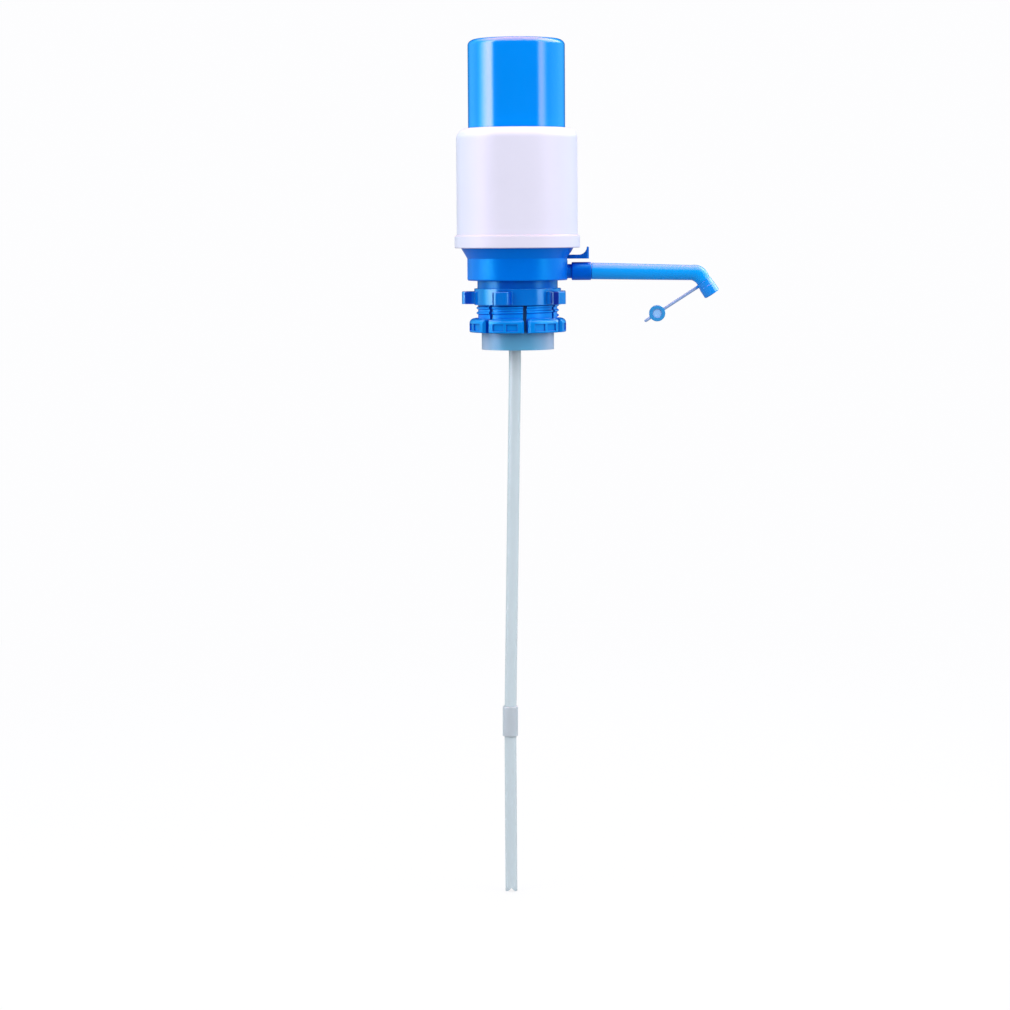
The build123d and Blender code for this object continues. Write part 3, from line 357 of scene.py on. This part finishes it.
handlingSetup = {
    "cloudRange": (0.25, 0.75),
    "rubSize": 0.0007,
    "rubStretch": (1.0, 1.0, 0.02),
    "rubLean": (0.02, 0.03, 0),
    "rubRange": (0.62, 0.74),
    "areaSize": 0.03,
    "areaRange": (0.45, 0.65),
}


def makeHandling(setup):
    # roughness between two limits in soft clouds, and a mask of fine rub marks along the pump's axis
    ins = [
        ("Low", "Float", 0.1),
        ("High", "Float", 0.2),
        ("Patch Size", "Float", 0.02),
        ("Rub", "Float", 0.1),
    ]
    group, given, result = startGroup("handling", ins, [("Roughness", "Float"), ("Rub Mask", "Float")])
    place = objectPlace(group)
    clouds = noiseAt(group, place, given["Patch Size"], detail=1.5, roughness=0.4)
    patch = remap(group, clouds, *setup["cloudRange"])
    lean = {"Vector": place, "Scale": setup["rubStretch"], "Rotation": setup["rubLean"]}
    stretched = addNode(group, "Mapping", lean).outputs[0]
    lines = remap(group, noiseAt(group, stretched, setup["rubSize"], detail=2.0), *setup["rubRange"])
    areas = remap(group, noiseAt(group, place, setup["areaSize"], detail=1.0), *setup["areaRange"])
    rubbed = calc(group, "MULTIPLY", calc(group, "MULTIPLY", lines, areas), given["Rub"])
    span = calc(group, "SUBTRACT", given["High"], given["Low"])
    rough = calc(group, "ADD", given["Low"], calc(group, "MULTIPLY", span, patch))
    group.links.new(calc(group, "ADD", rough, rubbed, clamp=True), result["Roughness"])
    group.links.new(rubbed, result["Rub Mask"])
    return group


edgeSetup = {"samples": 8, "maskRange": (0.02, 0.25)}


def makeSoftEdge(setup):
    # normal with every edge eased by a small radius, and a mask that is 1 on the edges, worked out from 1
    # less the cosine between the eased normal and the plain one
    ins = [("Radius", "Float", 0.0004)]
    group, given, result = startGroup("softEdge", ins, [("Normal", "Vector"), ("Edge", "Float")])
    eased = addNode(group, "Bevel", {"Radius": given["Radius"]}, samples=setup["samples"]).outputs[0]
    plain = addNode(group, "NewGeometry").outputs["Normal"]
    same = vectorCalc(group, "DOT_PRODUCT", eased, plain)["Value"]
    edge = remap(group, calc(group, "SUBTRACT", 1.0, same), *setup["maskRange"])
    group.links.new(eased, result["Normal"])
    group.links.new(edge, result["Edge"])
    return group


dustSetup = {
    "upwardRange": (0.35, 0.95),
    "speckSize": 0.0011,
    "speckRange": (0.45, 0.72),
    "cloudSize": 0.017,
    "cloudRange": (0.3, 0.7),
}


def makeDustVeil(setup):
    # mask of the thin dust that settles on faces that look up, in specks within clouds
    group, given, result = startGroup("dustVeil", [("Amount", "Float", 0.1)], [("Mask", "Float")])
    normal = addNode(group, "NewGeometry").outputs["Normal"]
    height = addNode(group, "SeparateXYZ", {0: normal}).outputs["Z"]
    upward = remap(group, height, *setup["upwardRange"])
    place = objectPlace(group)
    specks = remap(group, noiseAt(group, place, setup["speckSize"], detail=3.0), *setup["speckRange"])
    cloud = remap(group, noiseAt(group, place, setup["cloudSize"], detail=3.0), *setup["cloudRange"])
    settled = calc(group, "MULTIPLY", calc(group, "MULTIPLY", specks, cloud), upward)
    group.links.new(calc(group, "MULTIPLY", settled, given["Amount"]), result["Mask"])
    return group


cavityShadeSetup = {"samples": 12, "deepRange": (0.12, 0.62)}


def makeCavityShade(setup):
    # mask of painted shade in the corners and crevices that little light gets into
    ins = [("Reach", "Float", 0.008), ("Amount", "Float", 0.6)]
    group, given, result = startGroup("cavityShade", ins, [("Mask", "Float")])
    spread = addNode(group, "AmbientOcclusion", {"Distance": given["Reach"]}, samples=setup["samples"])
    closed = calc(group, "SUBTRACT", 1.0, spread.outputs["AO"])
    deep = remap(group, closed, *setup["deepRange"])
    group.links.new(calc(group, "MULTIPLY", deep, given["Amount"]), result["Mask"])
    return group


def makeNearPoint():
    # mask that is 1 within a radius of a point and falls to 0 over the feather
    ins = [("Centre", "Vector", (0, 0, 0)), ("Radius", "Float", 0.01), ("Feather", "Float", 0.0003)]
    group, given, result = startGroup("nearPoint", ins, [("Mask", "Float")])
    away = vectorCalc(group, "DISTANCE", objectPlace(group), given["Centre"])["Value"]
    over = calc(group, "SUBTRACT", away, given["Radius"])
    mask = calc(group, "SUBTRACT", 1.0, calc(group, "DIVIDE", over, given["Feather"]), clamp=True)
    group.links.new(mask, result["Mask"])
    return group


def makePastPlane():
    # mask that rises from 0 to 1 between two distances along a direction
    ins = [("Direction", "Vector", (1, 0, 0)), ("Start", "Float", 0.0), ("End", "Float", 0.01)]
    group, given, result = startGroup("pastPlane", ins, [("Mask", "Float")])
    along = vectorCalc(group, "DOT_PRODUCT", objectPlace(group), given["Direction"])["Value"]
    reach = calc(group, "SUBTRACT", along, given["Start"])
    span = calc(group, "SUBTRACT", given["End"], given["Start"])
    group.links.new(calc(group, "DIVIDE", reach, span, clamp=True), result["Mask"])
    return group


def makeCheekShade():
    # mask of the faces that look round the axis, past a radius: one side of each lug, used to paint shade
    # there.
    # Side is 1 or -1, and From and To are sines of the face's angle off the outward direction
    ins = [
        ("Side", "Float", 1.0),
        ("From", "Float", 0.55),
        ("To", "Float", 0.85),
        ("Radius", "Float", 0.03),
        ("Feather", "Float", 0.001),
    ]
    group, given, result = startGroup("cheekShade", ins, [("Mask", "Float")])
    coordinates = addNode(group, "TexCoord").outputs
    flat = vectorCalc(group, "MULTIPLY", coordinates["Object"], (1, 1, 0))[0]
    away = vectorCalc(group, "LENGTH", flat)["Value"]
    outward = vectorCalc(group, "NORMALIZE", flat)[0]
    around = vectorCalc(group, "CROSS_PRODUCT", (0, 0, 1), outward)[0]
    facing = vectorCalc(group, "DOT_PRODUCT", coordinates["Normal"], around)["Value"]
    turned = calc(group, "MULTIPLY", facing, given["Side"])
    sideways = remap(group, turned, given["From"], given["To"])
    past = calc(group, "SUBTRACT", away, given["Radius"])
    over = calc(group, "DIVIDE", past, given["Feather"], clamp=True)
    group.links.new(calc(group, "MULTIPLY", sideways, over), result["Mask"])
    return group


mouldGrain = makeMouldGrain()
toneDrift = makeToneDrift()
handling = makeHandling(handlingSetup)
softEdge = makeSoftEdge(edgeSetup)
dustVeil = makeDustVeil(dustSetup)
cavityShade = makeCavityShade(cavityShadeSetup)
nearPoint = makeNearPoint()
pastPlane = makePastPlane()
cheekShade = makeCheekShade()
print("shared effects ready")


# Zones: places in the pump's own frame at which a moulding's colour changes; most of them paint shade or
# light on it.


def zoneNear(centre, radius, feather, color, outside=False):
    place = {"Centre": centre, "Radius": radius, "Feather": feather}
    return {"group": nearPoint, "place": place, "color": color, "show": 1.0, "outside": outside}


def zonePast(direction, start, end, color):
    place = {"Direction": direction, "Start": start, "End": end}
    return {"group": pastPlane, "place": place, "color": color, "show": 1.0, "outside": False}


def zoneCheekShade(side, sines, radius, feather, color, show):
    place = {"Side": side, "From": sines[0], "To": sines[1], "Radius": radius, "Feather": feather}
    return {"group": cheekShade, "place": place, "color": color, "show": show, "outside": False}


def zonedColor(tree, color, zones):
    # each zone lays its own colour over the last, where its mask says
    for zone in zones:
        mask = useGroup(tree, zone["group"], zone["place"])["Mask"]
        if zone["outside"]:
            mask = calc(tree, "SUBTRACT", 1.0, mask)
        color = blendColor(tree, calc(tree, "MULTIPLY", mask, zone["show"]), color, (*zone["color"], 1))
    return color


# Every finish starts from these values. Of the pairs, rough is low and high, wave and grain are size and
# height, tone is amount and size, and shade, the painted shade in crevices, is reach and amount.

finishDefaults = {
    "color": (0.5, 0.5, 0.5),
    "edge": 0.0004,
    "edgeColor": None,
    "edgePale": 0.2,
    "edgeShow": 0.25,
    "rough": (0.20, 0.24),
    "patch": 0.02,
    "rub": 0.05,
    "rubDepth": 4e-6,
    "wave": (0.03, 4e-5),
    "grain": (0.0009, 8e-7),
    "tone": (0.03, 0.05),
    "dust": 0.04,
    "dustColor": (0.78, 0.77, 0.75),
    "dustRough": 0.5,
    # shade and shadeTone set the painted shade in crevices
    "shade": (0.008, 0.6),
    "shadeTone": 0.6,
    "rim": None,
    "rimRange": (0.05, 0.55),
    "specular": 0.5,
    "tint": (1.0, 1.0, 1.0),
    "ior": 1.5,
    "clear": 0.0,
    "metal": 0.0,
    "glow": 0.0,
    "glowDepth": 0.002,
    "zones": [],
}


def finishColor(tree, look, edge, dust):
    # the zones' colours, with the rim's at a grazing angle as a painted sheen, with painted shade in
    # crevices, drifting in tone, worn along the edges and veiled with dust
    base = zonedColor(tree, (*look["color"], 1), look["zones"])
    # painted sheen: the rim colour is laid on where the surface is seen at a grazing angle
    if look["rim"]:
        facing = addNode(tree, "LayerWeight", {"Blend": 0.5}).outputs["Facing"]
        base = blendColor(tree, remap(tree, facing, *look["rimRange"]), base, (*look["rim"], 1))
    # painted shade: crevices get a darker, deeper copy of the colour, shadeTone times its square
    paintedShadeMask = useGroup(tree, cavityShade, {"Reach": look["shade"][0], "Amount": look["shade"][1]})["Mask"]
    deep = [look["shadeTone"] * c * c for c in look["color"]]
    base = blendColor(tree, paintedShadeMask, base, (*deep, 1))
    tone = useGroup(tree, toneDrift, {"Color": base, "Amount": look["tone"][0], "Size": look["tone"][1]})
    pale = look["edgePale"]
    worn = look["edgeColor"] or [(1 - pale) * c + pale for c in look["color"]]
    color = blendColor(tree, calc(tree, "MULTIPLY", edge, look["edgeShow"]), tone["Color"], (*worn, 1))
    return blendColor(tree, dust, color, (*look["dustColor"], 1))


def makeFinish(name, changes):
    # moulded plastic, rubber or drawn steel, from one set of values
    look = {**finishDefaults, **changes}
    material = bpy.data.materials.new(name)
    material.use_nodes = True
    tree = material.node_tree
    edge = useGroup(tree, softEdge, {"Radius": look["edge"]})
    dust = useGroup(tree, dustVeil, {"Amount": look["dust"]})["Mask"]
    dusty = calc(tree, "MULTIPLY", dust, look["dustRough"])
    hands = useGroup(tree, handling, {
        "Low": look["rough"][0],
        "High": look["rough"][1],
        "Patch Size": look["patch"],
        "Rub": look["rub"],
    })
    grain = useGroup(tree, mouldGrain, {
        "Wave Size": look["wave"][0],
        "Wave Height": look["wave"][1],
        "Grain Size": look["grain"][0],
        "Grain Height": look["grain"][1],
    })
    rubbed = calc(tree, "MULTIPLY", hands["Rub Mask"], look["rubDepth"])
    height = calc(tree, "SUBTRACT", grain["Height"], rubbed)
    relief = {"Strength": 1.0, "Distance": 1.0, "Height": height, "Normal": edge["Normal"]}
    setInputs(tree, tree.nodes["Principled BSDF"], {
        "Base Color": finishColor(tree, look, edge["Edge"], dust),
        "Roughness": calc(tree, "ADD", hands["Roughness"], dusty, clamp=True),
        "Normal": addNode(tree, "Bump", relief).outputs[0],
        "Metallic": look["metal"],
        "IOR": look["ior"],
        "Specular IOR Level": look["specular"],
        "Specular Tint": (*look["tint"], 1),
        "Subsurface Weight": look["glow"],
        "Subsurface Radius": (1.0, 1.0, 1.0),
        "Subsurface Scale": look["glowDepth"],
        "Transmission Weight": look["clear"],
    })
    return material


def dress(nodeName, material):
    for slot in nodes[nodeName].material_slots:
        slot.material = material


# Finishes of the CAD pieces, and of the soft ones below.

up = (0, 0, 1)
down = (0, 0, -1)
spoutward = (1, 0, 0)
plugCentre = (0.1099, 0.0, 0.0275)
legFoot = (0.1500, 0.0, 0.0470)

finishes = {
    "capBlue": {
        "color": (0.0, 0.265, 0.93),
        "rough": (0.07, 0.09),
        "rub": 0.02,
        "wave": (0.045, 2.2e-4),
        "tint": (0.9, 1.0, 1.0),
        "shade": (0.004, 0.4),
    },
    "shellWhite": {
        "color": (0.76, 0.75, 0.90),
        "edgeColor": (0.78, 0.77, 0.9),
        "rough": (0.38, 0.42),
        "rub": 0.02,
        "specular": 0.4,
        "tint": (1.0, 0.75, 0.85),
        "shade": (0.005, 0.6),
        "zones": [
            # painted shade: a thin band over the rim's step is darkened, and the wall above it goes back to
            # the plain colour
            zonePast(up, 0.0884, 0.0888, (0.60, 0.59, 0.72)),  # step over the rim
            zonePast(up, 0.0900, 0.0904, (0.76, 0.75, 0.90)),  # wall above the step
        ],
    },
    "bodyBlue": {
        "color": (0.0, 0.150, 0.80),
        "rough": (0.31, 0.34),
        "specular": 0.7,
        "tint": (0.0, 1.0, 0.72),
        "shade": (0.010, 0.7),
        "zones": [
            # painted shade: the spout's socket is painted a darker blue than the rest of the moulding
            zonePast(spoutward, 0.0395, 0.0420, (0.0, 0.10, 0.72)),  # spout's socket
        ],
    },
    "colletBlue": {
        "color": (0.0, 0.30, 0.98),
        "rough": (0.20, 0.24),
        "wave": (0.012, 2e-5),
        "tint": (0.15, 0.9, 0.9),
        "shade": (0.010, 0.75),
        "zones": [
            # painted shade: the lips get a darker copy of the collet's blue than the thread above
            zonePast(down, -0.0250, -0.0240, (0.0, 0.225, 0.78)),  # lips
            # painted shadow: the band under the barrel is painted darker, where the barrel's shadow falls
            zonePast(up, 0.0478, 0.0490, (0.0, 0.15, 0.66)),  # band over the fingers
        ],
    },
    "ringBlue": {
        "color": (0.0, 0.165, 0.68),
        "rough": (0.10, 0.12),
        "wave": (0.015, 3e-5),
        "specular": 0.65,
        "tint": (0.4, 1.0, 0.95),
        "shade": (0.006, 0.5),
        "zones": [
            # painted shade: both sides of each lug are painted a darker blue, one side darker still
            zoneCheekShade(1.0, (0.55, 0.85), 0.0355, 0.002, (0.0, 0.05, 0.52), 0.9),
            zoneCheekShade(-1.0, (0.2, 0.5), 0.0365, 0.0025, (0.004, 0.012, 0.28), 0.95),
        ],
    },
    "leverBlue": {
        "color": (0.002, 0.085, 0.56),
        "rough": (0.24, 0.3),
        "tint": (0.10, 1.0, 0.90),
    },
    "spoutBlue": {
        "color": (0.0, 0.335, 0.96),
        "edge": 0.0,
        "rough": (0.16, 0.20),
        "wave": (0.03, 5e-5),
        "tint": (0.6, 0.85, 0.7),
    },
    "tetherBlue": {
        "color": (0.0, 0.27, 0.90),
        "rough": (0.18, 0.22),
        "specular": 0.9,
        "tint": (0.7, 0.9, 0.8),
        "zones": [
            # painted light: the thin strap is painted pale, standing in for light shining through it
            zoneNear(legFoot, 0.0094, 0.0004, (0.28, 0.41, 0.72), outside=True),  # all but the sleeve
            zoneNear(plugCentre, 0.0066, 0.0004, (0.03, 0.30, 0.72)),  # plug
            # painted light: the plug's thin middle is painted pale, standing in for light shining through it
            zoneNear(plugCentre, 0.0032, 0.0008, (0.28, 0.55, 0.97)),  # its middle
        ],
    },
    "gasketClear": {
        "color": (0.14, 0.50, 0.80),
        # painted sheen: a paler colour where the gasket is seen at a grazing angle
        "rim": (0.54, 0.70, 0.96),
        "rough": (0.30, 0.36),
        "clear": 0.35,
        "ior": 1.41,
        "edge": 0.0003,
        "rub": 0.0,
        "zones": [
            # painted shade: the gasket behind the fingers is painted dark, where it sits in their shade
            zonePast(up, 0.0138, 0.0150, (0.02, 0.17, 0.30)),  # behind the fingers
        ],
    },
    "tubeClear": {
        "color": (0.82, 0.94, 1.0),
        "rough": (0.20, 0.24),
        "clear": 0.30,
        "edge": 0.0002,
        "dust": 0.0,
        "rub": 0.0,
    },
    "couplerClear": {
        "color": (0.70, 0.78, 0.85),
        "rough": (0.35, 0.45),
        "clear": 0.3,
        "ior": 1.45,
        "dust": 0.0,
    },
    "sealBlack": {
        "color": (0.025, 0.025, 0.028),
        "rough": (0.45, 0.6),
        "grain": (0.0005, 3e-6),
        "edge": 0.0002,
    },
    "valveRubber": {
        "color": (0.70, 0.66, 0.58),
        "rough": (0.45, 0.55),
        "glow": 0.2,
    },
    "innerWhite": {
        "color": (0.70, 0.70, 0.72),
        "rough": (0.32, 0.40),
    },
    "bellowsWhite": {
        "color": (0.76, 0.76, 0.78),
        "rough": (0.38, 0.48),
        "wave": (0.012, 3e-5),
        "glow": 0.15,
    },
    "springSteel": {
        "color": (0.60, 0.60, 0.62),
        "metal": 1.0,
        "rough": (0.18, 0.30),
        "wave": (0.01, 1e-5),
        "edge": 0.0001,
    },
    "screwSteel": {
        "color": (0.56, 0.56, 0.57),
        "metal": 1.0,
        "rough": (0.26, 0.36),
        "wave": (0.005, 5e-6),
        "edge": 0.0001,
    },
}
made = {name: makeFinish(name, changes) for name, changes in finishes.items()}

wears = {
    "capBlue": ["push_cap"],
    "shellWhite": ["outer_shell"],
    "bodyBlue": ["base_body"],
    "colletBlue": ["neck_collet"],
    "ringBlue": ["lock_ring"],
    "leverBlue": ["release_lever"],
    "spoutBlue": ["spout"],
    "tetherBlue": ["plug_tether"],
    "gasketClear": ["neck_gasket"],
    "tubeClear": ["dip_tube_upper", "dip_tube_lower"],
    "couplerClear": ["tube_coupler"],
    "sealBlack": ["riser_oring", "spout_orings", "vent_seal"],
    "valveRubber": ["intake_valve", "outlet_valve"],
    "innerWhite": ["spring_plate", "bellows_clamp_ring", "riser_elbow"],
    "screwSteel": ["clamp_screws", "lever_pin"],
}
for finish, wearers in wears.items():
    for wearer in wearers:
        dress(wearer, made[finish])
print("finishes ready:", len(made))


# Meshes from arrays.


def facesOut(piece):
    work = bmesh.new()
    work.from_mesh(piece.data)
    bmesh.ops.recalc_face_normals(work, faces=work.faces)
    work.to_mesh(piece.data)
    work.free()


def meshFromArrays(name, points, quads, fans, material):
    # quads are rows of four corner numbers, fans rows of three
    mesh = bpy.data.meshes.new(name)
    mesh.from_pydata(points.reshape(-1, 3).tolist(), [], quads.tolist() + fans.tolist())
    mesh.polygons.foreach_set("use_smooth", np.ones(len(mesh.polygons), bool))
    mesh.materials.append(material)
    piece = bpy.data.objects.new(name, mesh)
    scene.collection.objects.link(piece)
    facesOut(piece)
    return piece


def anglesRound(count):
    # even angles once round, without the last, which is the first again
    return np.linspace(0, 2 * pi, count, endpoint=False)


def gridQuads(rows, columns):
    # corner numbers of the faces of a grid that closes on itself after its last column
    i, j = np.meshgrid(np.arange(rows - 1), np.arange(columns), indexing="ij")
    k = (j + 1) % columns
    here = i * columns
    below = here + columns
    return np.stack([here + j, below + j, below + k, here + k], -1).reshape(-1, 4)


def poleFans(rows, columns):
    # triangles from the first and last rows of the grid to one point each, added after the grid
    j = np.arange(columns)
    k = (j + 1) % columns
    last = (rows - 1) * columns
    first = np.stack([np.full(columns, rows * columns), j, k], -1)
    final = np.stack([np.full(columns, rows * columns + 1), last + k, last + j], -1)
    return np.concatenate([first, final])


def turnedShell(name, radius, height, firstPole, lastPole, material):
    # radius r and height z are grids over the profile and the turn a; each point is (r cos a, r sin a, z),
    # and the profile starts and ends on the axis, at the heights of the two poles
    rows, columns = radius.shape
    angle = anglesRound(columns)[None, :]
    points = np.stack([radius * np.cos(angle), radius * np.sin(angle), height + 0 * angle], -1)
    points = np.concatenate([points.reshape(-1, 3), [(0, 0, firstPole), (0, 0, lastPole)]])
    return meshFromArrays(name, points, gridQuads(rows, columns), poleFans(rows, columns), material)


def wireAlong(name, path, outward, radius, sides, material):
    # a circle carried along a line of points: each ring is spanned by the outward direction and its cross
    # with the line's own direction, and both ends are closed by a fan
    tangent = np.gradient(path, axis=0)
    tangent /= np.linalg.norm(tangent, axis=1, keepdims=True)
    across = np.cross(tangent, outward)
    across /= np.linalg.norm(across, axis=1, keepdims=True)
    turn = anglesRound(sides)[None, :, None]
    rings = path[:, None] + radius * (outward[:, None] * np.cos(turn) + across[:, None] * np.sin(turn))
    points = np.concatenate([rings.reshape(-1, 3), path[:1], path[-1:]])
    return meshFromArrays(name, points, gridQuads(len(path), sides), poleFans(len(path), sides), material)


# Bellows: a soft cylinder with rounded folds, a flat top and a flange notched round its six screws. It and
# the return spring stand on the base's deck.

deckTop = 0.0825

bellowsShape = {
    "crest": 0.0334,
    "root": 0.0282,
    "wall": 0.0013,
    "folds": 11,
    "foot": deckTop,
    "flangeTop": 0.0843,
    "top": 0.23965,
    "crownInset": 0.0012,
    "crownEase": 0.0004,
    "crownRing": 0.5,
    "flangeRadius": 0.0416,
    "screwCircle": 0.0384,
    "screws": 6,
    "screwTurn": radians(30),
    "notchWidth": 0.0018,
    "stepsPerFold": 14,
    "sides": 96,
}


def bellowsRim(shape, angle):
    # the flange's radius round the turn, stepping in past each screw in a smooth notch, n * n * (3 - 2n)
    pitch = 2 * pi / shape["screws"]
    aside = np.abs((angle - shape["screwTurn"] + pitch / 2) % pitch - pitch / 2) * shape["screwCircle"]
    notch = np.clip(2 - aside / shape["notchWidth"], 0, 1)
    inset = shape["flangeRadius"] - shape["screwCircle"] + shape["notchWidth"]
    return shape["flangeRadius"] - inset * notch * notch * (3 - 2 * notch)


def buildBellows(shape):
    # the profile runs from the top's middle down the outer folds, round the flange and up inside. The folds
    # are r = middle - swing * cos(turns), which starts and ends in a root
    t = np.linspace(0, 1, shape["folds"] * shape["stepsPerFold"] + 1)
    middle = (shape["crest"] + shape["root"]) / 2
    swing = (shape["crest"] - shape["root"]) / 2
    ceiling = shape["top"] - shape["wall"]
    foldR = middle - swing * np.cos(2 * pi * shape["folds"] * t)
    foldZ = shape["flangeTop"] + (ceiling - shape["flangeTop"]) * t
    crown = shape["root"] - shape["crownInset"]
    ring = crown * shape["crownRing"]
    outerR = np.concatenate([[ring, crown, shape["root"] - shape["crownEase"]], foldR[::-1]])
    outerZ = np.concatenate([[shape["top"], shape["top"], shape["top"] - shape["crownEase"]], foldZ[::-1]])
    innerR = np.concatenate([foldR - shape["wall"], [ring]])
    innerZ = np.concatenate([foldZ, [ceiling]])
    rim = bellowsRim(shape, anglesRound(shape["sides"]))
    even = np.ones(shape["sides"])
    innerFoot = shape["root"] - shape["wall"]
    radius = np.concatenate([outerR[:, None] * even, [rim, rim, innerFoot * even], innerR[:, None] * even])
    height = np.concatenate([outerZ, [shape["flangeTop"], shape["foot"], shape["foot"]], innerZ])
    material = made["bellowsWhite"]
    return turnedShell("bellowsSkin", radius, height[:, None], shape["top"], ceiling, material)


# Springs: round wire wound on a cylinder, the end turns closed up. Foot and head are the wire's lowest and
# highest points, wire is its radius, and closedPitch is the closed turns' pitch in such radii.

springShapes = {
    "return_spring": {
        "x": 0.0,
        "foot": deckTop,
        "head": 0.2353,
        "radius": 0.023,
        "wire": 0.0009,
        "turns": 12,
    },
    "lever_spring": {
        "x": 0.0245,
        "foot": 0.07395,
        "head": 0.0795,
        "radius": 0.0023,
        "wire": 0.00025,
        "turns": 6,
    },
}
springMesh = {"stepsPerTurn": 40, "sides": 10, "closedPitch": 2.04}


def springRise(turn, span, closed):
    # height along the wire: one closed pitch in the first and last turn and even between them, with the
    # bends averaged over a quarter of a turn
    turns = turn[-1]
    rise = np.interp(turn, [0, 1, turns - 1, turns], [0, closed, span - closed, span])
    quarter = springMesh["stepsPerTurn"] // 4
    padded = np.pad(rise, quarter, mode="reflect", reflect_type="odd")
    rise = np.convolve(padded, np.ones(quarter) / quarter, mode="same")[quarter:-quarter]
    return (rise - rise[0]) * span / (rise[-1] - rise[0])


def buildSpring(name, shape):
    # the wire's line is (r cos a, r sin a) round the spring's axis, at the height that springRise gives
    turn = np.linspace(0, shape["turns"], shape["turns"] * springMesh["stepsPerTurn"] + 1)
    closed = springMesh["closedPitch"] * shape["wire"]
    span = shape["head"] - shape["foot"] - 2 * shape["wire"]
    angle = 2 * pi * turn
    outward = np.stack([np.cos(angle), np.sin(angle), 0 * angle], -1)
    path = shape["radius"] * outward + np.array([shape["x"], 0, shape["foot"] + shape["wire"]])
    path[:, 2] += springRise(turn, span, closed)
    print(name, "wound with", shape["turns"], "turns")
    return wireAlong(name + "Wire", path, outward, shape["wire"], springMesh["sides"], made["springSteel"])


bellowsSkin = buildBellows(bellowsShape)
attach(bellowsSkin, "base")
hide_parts("bellows")
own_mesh(bellowsSkin)

returnSpring = buildSpring("return_spring", springShapes["return_spring"])
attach(returnSpring, "base")
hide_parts("return_spring")
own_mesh(returnSpring)

leverSpring = buildSpring("lever_spring", springShapes["lever_spring"])
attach(leverSpring, "base")
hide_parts("lever_spring")
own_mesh(leverSpring)
print("soft pieces ready")
